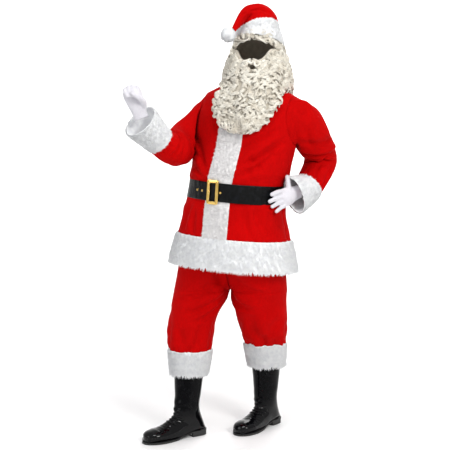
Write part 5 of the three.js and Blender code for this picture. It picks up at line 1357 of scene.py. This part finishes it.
def beard():
    """The beard's form from the moustache down over the chest, sunk a little as the locks' ground,
    with a gap for the mouth, and the curled locks on it. The ground is coloured darker than the locks,
    as painted shade between them."""
    levels = np.concatenate([np.linspace(1345, 1540, 34), np.linspace(1544, 1700, 24)])
    share = np.linspace(-1, 1, 65)
    level, share = np.meshgrid(levels, share, indexing="ij")
    reach = SEAM_ANGLE + 18 * (1 - smooth(1450, 1540, level))
    angle = share * reach
    top = 1650 + 50 * smooth(12, 50, np.abs(angle))
    z = np.where(level > CHIN, CHIN + (top - CHIN) * (level - CHIN) / (levels[-1] - CHIN), level)
    outer = hair_point(angle, z, -3.0)
    inner = hair_point(angle, z, -HAIR_THICK)
    on_band = np.abs(inner[..., 0] - body_at(z)["cx"]) < BAND_REACH
    chest = front_at(inner[..., 0], z) - 4 - np.where(on_band, 10, 0)
    inner[..., 1] = np.where((z < CHIN) & (inner[..., 1] > chest), chest, inner[..., 1])
    outer[..., 1] = np.where(z < CHIN, np.minimum(outer[..., 1], inner[..., 1] - 6), outer[..., 1])
    normals, sign = grid_normals(outer, False, (22, 60, 1520))
    points, faces = closed_wall(outer, inner, False, sign)
    middle = points[faces].mean(1)
    mouth = hair_point(MOUTH_ANGLE, MOUTH_HEIGHT, 0.0)
    gap = ((middle[:, 0] - mouth[0]) / 19) ** 2 + ((middle[:, 2] - mouth[2]) / 9) ** 2 < 1
    gap &= middle[:, 1] < 0
    # The ground's darker colour is painted shade between the locks.
    put("beard_ground", points, faces[~gap], HAIR_PAINTED_SHADE, "curly_hair", ["beard"])
    away = ((outer[..., 0] - mouth[0]) / 27) ** 2 + ((outer[..., 2] - mouth[2] - 38) / 46) ** 2
    weight = np.where(away[:-1, :-1] < 1, 0.0, 1.0) * (1 + 3 * smooth(46, 56, np.arange(57))[:, None])
    locks("beard_curls", outer, normals, count=390, seed=91, weight=weight)
    moustache()


def moustache():
    """Combed strands from below the nose out to each side, each a thin tube. Two of three roll round
    a ring, and the third is swept out in an arc."""
    rng = np.random.default_rng(95)
    count = 144
    side = np.where(np.arange(count) % 2 == 0, 1.0, -1.0)[:, None]
    rolls = (np.arange(count) % 3 > 0)[:, None]
    t = np.linspace(0, 1, 30)[None, :]
    ring = 11 * rng.uniform(0.75, 1.15, (count, 1))
    turn = (90 - 340 * smooth(0, 1, np.clip((t - 0.3) / 0.7, 0, 1))) * RAD
    lead = np.clip(t / 0.3, 0, 1)
    rolled_x = -5 + 33 * lead + ring * np.cos(turn)
    rolled_z = 1634 + ring * np.sin(turn) - 11 * (1 - lead) ** 1.5
    swept_x = 3 + rng.uniform(52, 74, (count, 1)) * t
    swept_z = 1648 + rng.uniform(-5, 7, (count, 1)) - 34 * t ** 1.4
    x = np.where(rolls, rolled_x, swept_x) + rng.normal(size=(count, 1)) * 1.3
    z = np.where(rolls, rolled_z, swept_z) + rng.normal(size=(count, 1)) * 1.3
    proud = np.where(rolls, 8, 4) + rng.uniform(-2.5, 2.5, (count, 1))
    line = hair_point(MOUTH_ANGLE + side * x / 2.5, z, 0.0)
    line[..., 1] -= proud + 3 * np.sin(math.pi * t)
    tubes("beard_moustache", line, 2.2)


WIG_FOOT = 1540
WIG_EVEN = 1700


def wig():
    """The wig's form round the sides, the back and the crown, with the opening for the face. Its ground is
    coloured darker than the curls, as painted shade between them.
    """
    rows = table("z edge", (1540, 62), (1575, 62), (1612, 62), (1655, 62), (1700, 62), (1722, 52),
                 (1736, 30), (1744, 0.5), (1768, 0.5), (1786, 0.5), (1797, 0.5))
    level = np.concatenate([np.linspace(WIG_FOOT, WIG_EVEN, 30), np.linspace(1704, 1797, 22)])
    edge = np.interp(level, rows["z"], rows["edge"])[:, None]
    share = np.linspace(0, 1, 91)[None, :]
    angle = edge + (360 - 2 * edge) * share
    behind = smooth(75, 140, 180 - np.abs(180 - angle))
    foot = WIG_FOOT - 40 * behind
    level = level[:, None]
    rise = (level - WIG_FOOT) / (WIG_EVEN - WIG_FOOT)
    z = np.where(level < WIG_EVEN, foot + (WIG_EVEN - foot) * rise, level)
    outer = hair_point(angle, z, -3.0)
    inner = hair_point(angle, z - np.where(z > 1790, HAIR_THICK, 0), -HAIR_THICK)
    low = (z < 1620)[..., None]
    outer = np.where(low, clear_of_jacket(outer, 6.0), outer)
    inner = np.where(low, clear_of_jacket(inner, 4.0), inner)
    top = head_point(0.0, 0.0, 1801.0)
    outer = np.concatenate([outer, np.broadcast_to(top, (1, 91, 3))])
    inner = np.concatenate([inner, np.broadcast_to(top - [0, 0, HAIR_THICK], (1, 91, 3))])
    normals, sign = grid_normals(outer, False, (22, 10, 1650))
    # The ground's darker colour is painted shade between the curls.
    put("wig_ground", *closed_wall(outer, inner, False, sign), HAIR_PAINTED_SHADE, "curly_hair", ["wig"], merge=True)
    under_hat = smooth(1800, 1775, outer[:-1, :-1, 2])
    side_edge = 1 + 2 * np.exp(-(np.minimum(np.arange(90), 89 - np.arange(90)) / 4.0) ** 2)[None, :]
    locks("wig_curls", outer[:-2], normals[:-2], count=400, seed=97,
          weight=under_hat[:-1] * side_edge + 1e-6, past=0.6)


beard()
wig()


# Hat

# Each edge of the brim: its height, its slope across, where that slope is level, its slope away.
BRIM_EDGES = {"low": (1764, -0.135, -5, -0.263), "high": (1822, 0.2, 12, -0.33)}
# The crown's ovals: the middle right and away in the view, its height, lean, and two half sizes.
CROWN = [
    (24, 2, 1836, 6, 82, 88),
    (12, -10, 1855, 34, 62, 70),
    (-16, -42, 1855, 66, 42, 46),
    (-44, -82, 1838, 96, 25, 25),
    (-68, -108, 1800, 122, 14, 14),
    (-82, -118, 1776, 132, 9, 9),
]
CROWN_FOLDS = [
    (150, 0.30, 90, 0.62, 7, 11),
    (60, 0.20, 20, 0.45, 5, 10),
    (250, 0.25, 300, 0.55, 6, 12),
    (330, 0.35, 10, 0.60, 6, 10),
    (200, 0.45, 150, 0.75, 5, 9),
    (20, 0.62, 60, 0.85, 4, 8),
]
CROWN_ROUND = 460.0
CROWN_LONG = 330
POMPOM = 32


def camera_side(right, away, z):
    """A point or direction from its place right, away and up in the photograph's view."""
    return np.array([*turned(right, away, VIEW_TURN * RAD), z], float)


def brim_level(points, edge):
    """Height of the band's edge: a plane that slopes across and away, as the hat is worn."""
    right, away = turned(points[..., 0], points[..., 1], -VIEW_TURN * RAD)
    z, across, middle, back = BRIM_EDGES[edge]
    return z + across * (right - middle) + back * (away + 105)


def brim_row(angle, share):
    """The hair's form, a little larger, at a share of the way from the brim's low edge to its high one."""
    rough = hair_point(angle, 1760.0, 0)
    low, high = brim_level(rough, "low"), brim_level(rough, "high")
    z = low + (high - low) * share
    row = hair_point(angle, np.minimum(z, 1786), 3.8 + np.maximum(0, 1726 - z) * 0.1)
    row[..., 2] = z
    return row


def hat():
    """Band of fur on the hair, then a cone carried over through leaning ellipses to the pompom."""
    angle = np.arange(0, 360, 3.0)
    share = np.array([0, 0.04, 0.1, 0.2, 0.35, 0.5, 0.65, 0.8, 0.9, 0.96, 1])
    grid = brim_row(angle[None, :], share[:, None])
    pile = 10 * np.interp(share, [0, 0.06, 0.2, 0.8, 0.94, 1], [0.4, 0.8, 1, 1, 0.75, 0.35])
    trim("hat_brim", grid, pile, inner=0, count=9000, long=9.0, droop=0.2, seed=101, ragged=1.1)
    keys = [grid[-1]]
    for right, away, z, lean, wide, deep in CROWN:
        centre = camera_side(right, away, z)
        side = camera_side(math.cos(lean * RAD), 0, math.sin(lean * RAD))
        back = camera_side(0, 1, 0)
        turn = (angle - VIEW_TURN + HEAD[2])[:, None] * RAD
        keys.append(centre + side * wide * np.sin(turn) - back * deep * np.cos(turn))
    crown = carried(keys, 10)
    normals, _ = grid_normals(crown, True)
    along = np.linspace(0, 1, len(crown))
    folds = [(a / 360 * CROWN_ROUND, b * CROWN_LONG, c / 360 * CROWN_ROUND, d * CROWN_LONG, deep, wide)
             for a, b, c, d, deep, wide in CROWN_FOLDS]
    thin = smooth(1.0, 0.55, along)[:, None]
    depth = troughs(angle[None, :] / 360 * CROWN_ROUND, along[:, None] * CROWN_LONG, folds, CROWN_ROUND)
    crown = crown + normals * ((2 - depth * thin + uneven(crown, 70, 1.6, 103) * thin)
                               * smooth(-0.05, 0.1, along)[:, None])[..., None]
    cloth("hat_crown", crown, True)
    right, away, z, lean, wide, deep = CROWN[-1]
    way = camera_side(-math.sin(lean * RAD), 0, math.cos(lean * RAD))
    centre = camera_side(right, away, z) + way * (math.sqrt(POMPOM ** 2 - (wide - 2) ** 2) + 0.4)
    pompom(centre)


def pompom(centre):
    """A ball whose surface is slightly lumpy, under dense tufts."""
    polar, around = np.meshgrid(np.linspace(0, 180, 22) * RAD, np.arange(0, 360, 9.0) * RAD, indexing="ij")
    way = np.stack([np.sin(polar) * np.cos(around), np.sin(polar) * np.sin(around), np.cos(polar)], -1)
    grid = centre + way * (26.5 + uneven(way * 20, 9, 1.2, 111))[..., None]
    _, sign = grid_normals(grid, True, centre)
    faces = grid_faces(*grid.shape[:2], True, sign)
    ball = put("hat_pompom_ball", grid, faces, FUR_COOL, "white_fur", ["hat_pompom"], merge=True)
    tufts("hat_pompom_pile", grid, True, way, FUR_COOL, count=2000, long=10.5, wide=5.5, droop=0.0,
          seed=113, swirl=1.3)


hat()


# Gloves

def hand_frame(at, side, out, along):
    """The wrist's place, and the directions to the hand's side, out of its back and along it."""
    return [np.array(v, float) for v in (at, side, out, unit(np.array(along, float)))]


# Each row of a palm or finger: its place along the hand's side, out and along, and two half sizes.
RIGHT_HAND = hand_frame(
    (-320, -423, 1427), camera_side(1, 0, 0), camera_side(0, -1, 0), (-0.284, -0.193, 0.939))
RIGHT_PALM = [
    (0, 0, -34, 30, 24), (0, 0, 4, 31, 24), (0, 0, 38, 37, 24), (0, 0, 70, 41, 21), (0, 2, 88, 39, 16)]
RIGHT_FINGERS = [
    [(s, 4, 74, 10, 10), (s, 18, 106 - low, 9.6, 9.6), (s, 42, 98 - low, 9.3, 9.3), (s * 0.96, 46, 66, 9, 9)]
    for s, low in ((-22, 13), (-5, 4), (12.5, 0), (30, 5))
] + [[(30, 8, 24, 13, 13), (36, 32, 44, 12.5, 12.5), (22, 54, 62, 11.5, 11.5), (6, 58, 76, 10, 10)]]
LEFT_HAND = hand_frame((182, -38, 1068), (0, 0, 1), camera_side(0, -1, 0), (-0.62, -0.78, -0.08))
LEFT_PALM = [(22, -6, -68, 30, 22), (14, -4, -34, 32, 22), (4, 0, -4, 40, 18), (0, 0, 16, 41, 14)]
LEFT_FINGERS = [
    [(28, 0, 12, 10.5, 10.5), (28, 4, 44, 10, 10), (20, 6, 74, 9, 9)],
    [(8, 0, 14, 10.5, 10.5), (2, 5, 50, 10, 10), (-8, 8, 84, 9, 9)],
    [(-13, 0, 12, 10.5, 10.5), (-20, 5, 44, 9.5, 9.5), (-31, 8, 72, 8.5, 8.5)],
    [(-31, 0, 6, 10, 10), (-41, 4, 32, 9, 9), (-54, 7, 52, 8, 8)],
    [(22, 2, -8, 13, 13), (54, 4, -5, 11, 11), (88, 4, 0, 9, 9)],
]


LIMB_SIDES = 20


def limb(hand, rows):
    """Rings of a palm or finger on a smooth line through its rows, with a round tip."""
    at, side, out, along = hand
    rows = np.array(rows, float)
    keys = at + rows[:, :1] * side + rows[:, 1:2] * out + rows[:, 2:3] * along
    line = carried(keys[:, None], 6)[:, 0]
    at = np.linspace(0, len(rows) - 1, len(line))
    sizes = np.array([np.interp(at, np.arange(len(rows)), rows[:, k]) for k in (3, 4)]).T
    run = unit(np.gradient(line, axis=0))
    tip = sizes[-1].min()
    caps = np.array([0.35, 0.65, 0.88, 1.0])
    line = np.concatenate([line, line[-1] + run[-1] * tip * caps[:, None]])
    sizes = np.concatenate([sizes, sizes[-1] * np.sqrt(np.maximum(1 - caps ** 2, 1e-6))[:, None]])
    run = np.concatenate([run, np.repeat(run[-1:], 4, 0)])
    u = unit(side - run * (run @ side)[:, None])
    rings = ovals(line, u, np.cross(run, u), sizes[:, :1, None], sizes[:, 1:, None], LIMB_SIDES)
    return np.concatenate([np.broadcast_to(line[0], (1, LIMB_SIDES, 3)), rings])


def glove(name, hand, palm, fingers):
    """Palm and fingers joined into one skin by a voxel remesh, smoothed, opened at the wrist and
    given the cloth's thickness."""
    points, faces, first = [], [], 0
    for rows in [palm, *fingers]:
        rings = limb(hand, rows)
        _, sign = grid_normals(rings[1:-1], True)
        points.append(rings.reshape(-1, 3))
        faces.append(grid_faces(*rings.shape[:2], True, sign, first))
        first += rings.shape[0] * rings.shape[1]
    obj = put(name + "_knit", np.concatenate(points), np.concatenate(faces), KNIT, "white_knit", [name],
              merge=True)
    remesh = obj.modifiers.new("join", "REMESH")
    remesh.mode = "VOXEL"
    remesh.voxel_size = 0.003
    soften = obj.modifiers.new("soften", "SMOOTH")
    soften.factor = 0.6
    soften.iterations = 3
    graph = bpy.context.evaluated_depsgraph_get()
    joined = bpy.data.meshes.new_from_object(obj.evaluated_get(graph))
    obj.modifiers.clear()
    at, side, out, along = hand
    wrist = at + side * palm[0][0] + out * palm[0][1] + along * (palm[0][2] + 3)
    wrist = wrist * MM - np.array([0, 0, SHOULDER_HEIGHT * MM])
    work = bmesh.new()
    work.from_mesh(joined)
    low = [face for face in work.faces if np.dot(np.array(face.calc_center_median()) - wrist, along) < 0]
    bmesh.ops.delete(work, geom=low, context="FACES")
    for face in work.faces:
        face.smooth = True
    work.to_mesh(joined)
    work.free()
    obj.data = joined
    if not joined.materials:
        joined.materials.append(KNIT)
    shell(obj, GLOVE_THICK)


glove("right_glove", RIGHT_HAND, RIGHT_PALM, RIGHT_FINGERS)
glove("left_glove", LEFT_HAND, LEFT_PALM, LEFT_FINGERS)


# Boots

# Each boot: its place on the floor, its turn, and how far the shaft's top leans across and back.
BOOTS = [("right_boot", -239, -114, -30, -12, 50), ("left_boot", 0, 200, -12, 12, -27)]
ANKLE = 118
SHAFT_TOP = 345
BOOT_LONG = 310
SHAFT_AXIS = 62
SOLE_THICK = 8
HEEL_RISE = 20
HEEL_LONG = 80
ARCH_START = 82
ARCH_END = 165
BOOT_SIDES = 48
BOOT_STEPS = 7
# Ovals of the upper from the shaft's top to the toe: place along and height in front, the same
# behind, and half the width.
BOOT_RINGS = np.array([
    (24, 345, 156, 345, 62),
    (24, 270, 156, 270, 62),
    (30, 190, 150, 190, 55),
    (34, 135, 152, 140, 50),
    (22, 88, 155, 112, 46),
    (6, 48, 161, 99, 43),
    (3, 28, 169, 92, 42),
    (45, 24, 181, 84, 42),
    (95, 16, 197, 76, 43),
    (140, 8, 216, 67, 46),
    (185, 6, 239, 60, 49),
    (226, 6, 263, 56, 50),
    (262, 6, 285, 51, 44),
    (290, 7, 302, 43, 32),
], float)
SOLE = table(
    "along half", (-3, 13), (4, 26), (18, 35), (50, 38), (80, 36), (120, 36), (165, 44), (215, 53),
    (255, 51), (288, 39), (305, 24), (312, 9))
LACE_ROWS = [5.4, 6.5, 7.5]
LACE_REACH = 0.16


def boot_point(boot, along, aside, z):
    """A point from its place along the sole and aside from its middle, and its height."""
    x, y, turn, top_x, top_y = boot[1:]
    right, away = turned(aside, SHAFT_AXIS - along, turn * RAD)
    high = np.maximum(0, (z - ANKLE) / (SHAFT_TOP - ANKLE))
    return np.stack(np.broadcast_arrays(x + right + high * top_x, y + away + high * top_y, z), -1)


def insole(along):
    """Height of the upper's bottom along the sole, raised over the heel."""
    share = np.clip((along - ARCH_START) / (ARCH_END - ARCH_START), 0, 1)
    return SOLE_THICK + 0.3 + HEEL_RISE * (1 - share)


def boot_surface(boot):
    """Leaning ovals from the shaft's top to the toe: each runs from a front point to a back point,
    is fuller below the ankle, and doesn't go below the insole."""
    rings = carried(BOOT_RINGS[:, None], BOOT_STEPS)[:, 0]
    turn = turns(BOOT_SIDES)[None, :]
    share = 0.5 - 0.5 * np.cos(turn)
    along = rings[:, 2:3] + (rings[:, 0:1] - rings[:, 2:3]) * share
    z = rings[:, 3:4] + (rings[:, 1:2] - rings[:, 3:4]) * share
    at = np.arange(len(rings))[:, None] / BOOT_STEPS
    full = 1 - 0.6 * smooth(4, 7, at) * smooth(0.45, 0.7, share)
    aside = rings[:, 4:5] * power(np.sin(turn), full)
    along = along + 13 * smooth(11.4, 13, at) * smooth(0.5, 0.95, share)
    return boot_point(boot, along, aside, np.maximum(z, insole(along)))


def boot(boot_row):
    """The upper, with its toe cap and the creases of the ankle and instep, then its sole and laces."""
    name = boot_row[0]
    grid = boot_surface(boot_row)
    normals, sign = grid_normals(grid, True)
    ring = np.arange(len(grid))[:, None] / BOOT_STEPS
    turn = np.arange(BOOT_SIDES)[None, :] / BOOT_SIDES
    cap = 1.1 * smooth(10.55, 10.62, ring)
    ankle = np.exp(-((ring - 3.6) / 1.1) ** 2)
    front = np.exp(-((np.minimum(turn, 1 - turn)) / 0.16) ** 2)
    creases = ankle * front * 2.2 * np.sin(ring * 7.5 + 1.2 * np.sin(turn * 9))
    instep = np.exp(-((ring - 9.3) / 0.8) ** 2) * front * 0.9 * np.sin(ring * 10 + np.sin(turn * 12))
    move = cap + creases + instep + uneven(grid, 60, 0.9, 121)
    move = move * smooth(len(BOOT_RINGS) - 1.0, len(BOOT_RINGS) - 1.6, ring)
    grid = grid + normals * (move * smooth(2, 9, grid[..., 2]))[..., None]
    walls = []
    tips = ((BOOT_LONG - 2.0, 0.0, 15.0), (BOOT_LONG - 6.4, 0.0, 16.0))
    for rows, tip in zip((grid, grid - normals * 2.2), tips):
        end = np.broadcast_to(boot_point(boot_row, *tip), (1, BOOT_SIDES, 3))
        walls.append(np.concatenate([rows, end]))
    put(name + "_upper_patent", *closed_wall(*walls, True, sign), PATENT, "black_patent", [name + "_upper"],
        merge=True)
    sole(boot_row)
    laces(boot_row, grid, normals)


def slab(boot_row, along, half, top, bottom, node):
    """A rubber plate of the given half widths, between its top and its bottom."""
    sides = np.array([-1, -0.97, -0.7, 0, 0.7, 0.97, 1])
    upper = boot_point(boot_row, along[:, None], half[:, None] * sides, top[:, None])
    lower = boot_point(boot_row, along[:, None], half[:, None] * sides, bottom[:, None])
    middle = upper.mean((0, 1)) - np.array([0, 0, 40])
    _, sign = grid_normals(upper, False, middle)
    put(node + "_rubber", *closed_wall(upper, lower, False, sign), RUBBER, "black_patent", [node],
        shade=False)


def sole(boot_row):
    """The sole, which rises over its heel, and the heel block under it."""
    name = boot_row[0]
    along = np.linspace(-3, 312, 70)
    half = read(SOLE, "along", along, "half")
    ease = np.where((along > 40) & (along < 125), 3.5, 0)
    top = insole(along) - 0.3 - ease
    bottom = np.maximum(0, insole(along) - 0.3 - SOLE_THICK)
    slab(boot_row, along, half, top, bottom, name + "_sole")
    along = np.linspace(-3, HEEL_LONG, 26)
    half = read(SOLE, "along", along, "half") - 1.5
    high = insole(0.0) - 0.3 - SOLE_THICK - 0.3
    slab(boot_row, along, half, np.full_like(along, high), np.zeros_like(along), name + "_heel")


def laces(boot_row, grid, normals):
    """Flat laces over the instep: an oval section carried from side to side on the upper's surface."""
    for number, at in enumerate(LACE_ROWS, 1):
        turn = np.linspace(-LACE_REACH, LACE_REACH, 26)
        rows = np.full(26, at * BOOT_STEPS)
        line = at_spots(grid, True, rows, turn * BOOT_SIDES)
        out = unit(at_spots(normals, True, rows, turn * BOOT_SIDES))
        line = line + out * (1.6 - 2.2 * smooth(0.13, LACE_REACH, np.abs(turn))[:, None])
        run = unit(np.gradient(line, axis=0))
        rings = ovals(line, unit(np.cross(run, out)), out, 3.2, 1.3, 10)
        first, last = (np.broadcast_to(line[k], (1, 10, 3)) for k in (0, -1))
        _, sign = grid_normals(rings, True)
        rings = np.concatenate([first, rings, last])
        node = "%s_lace_%d" % (boot_row[0], number)
        put(node + "_cord", rings, grid_faces(*rings.shape[:2], True, sign), VINYL, "black_patent", [node],
            merge=True)


for boot_row in BOOTS:
    boot(boot_row)


# What stays as it was made: the waistband, inside the jacket

waistband = bpy.data.objects["trousers_waistband"]
waistband.data.materials.clear()
waistband.data.materials.append(RED)


# Floor

def lay_floor():
    """A floor that sweeps up behind: flat, then a quarter circle, then a wall across the view."""
    turn = np.linspace(0, 90, 25) * RAD
    away = np.concatenate([[-90], 4 + 5 * np.sin(turn), [9]])
    height = np.concatenate([[0], 5 - 5 * np.cos(turn), [25]])
    right = np.array([-90.0, 90.0])[None, :]
    x, y = turned(right, away[:, None], VIEW_TURN * RAD)
    z = np.broadcast_to(height[:, None] - SHOULDER_HEIGHT * MM - 0.0005, x.shape)
    mesh = bpy.data.meshes.new("floor")
    points = np.stack([x, y, z], -1).reshape(-1, 3)
    faces = grid_faces(len(away), 2, False, 1)
    mesh.from_pydata(points.tolist(), [], faces.tolist())
    mesh.polygons.foreach_set("use_smooth", np.full(len(mesh.polygons), True))
    floor = bpy.data.objects.new("floor", mesh)
    bpy.context.collection.objects.link(floor)
    mesh.materials.append(pale_floor())


lay_floor()
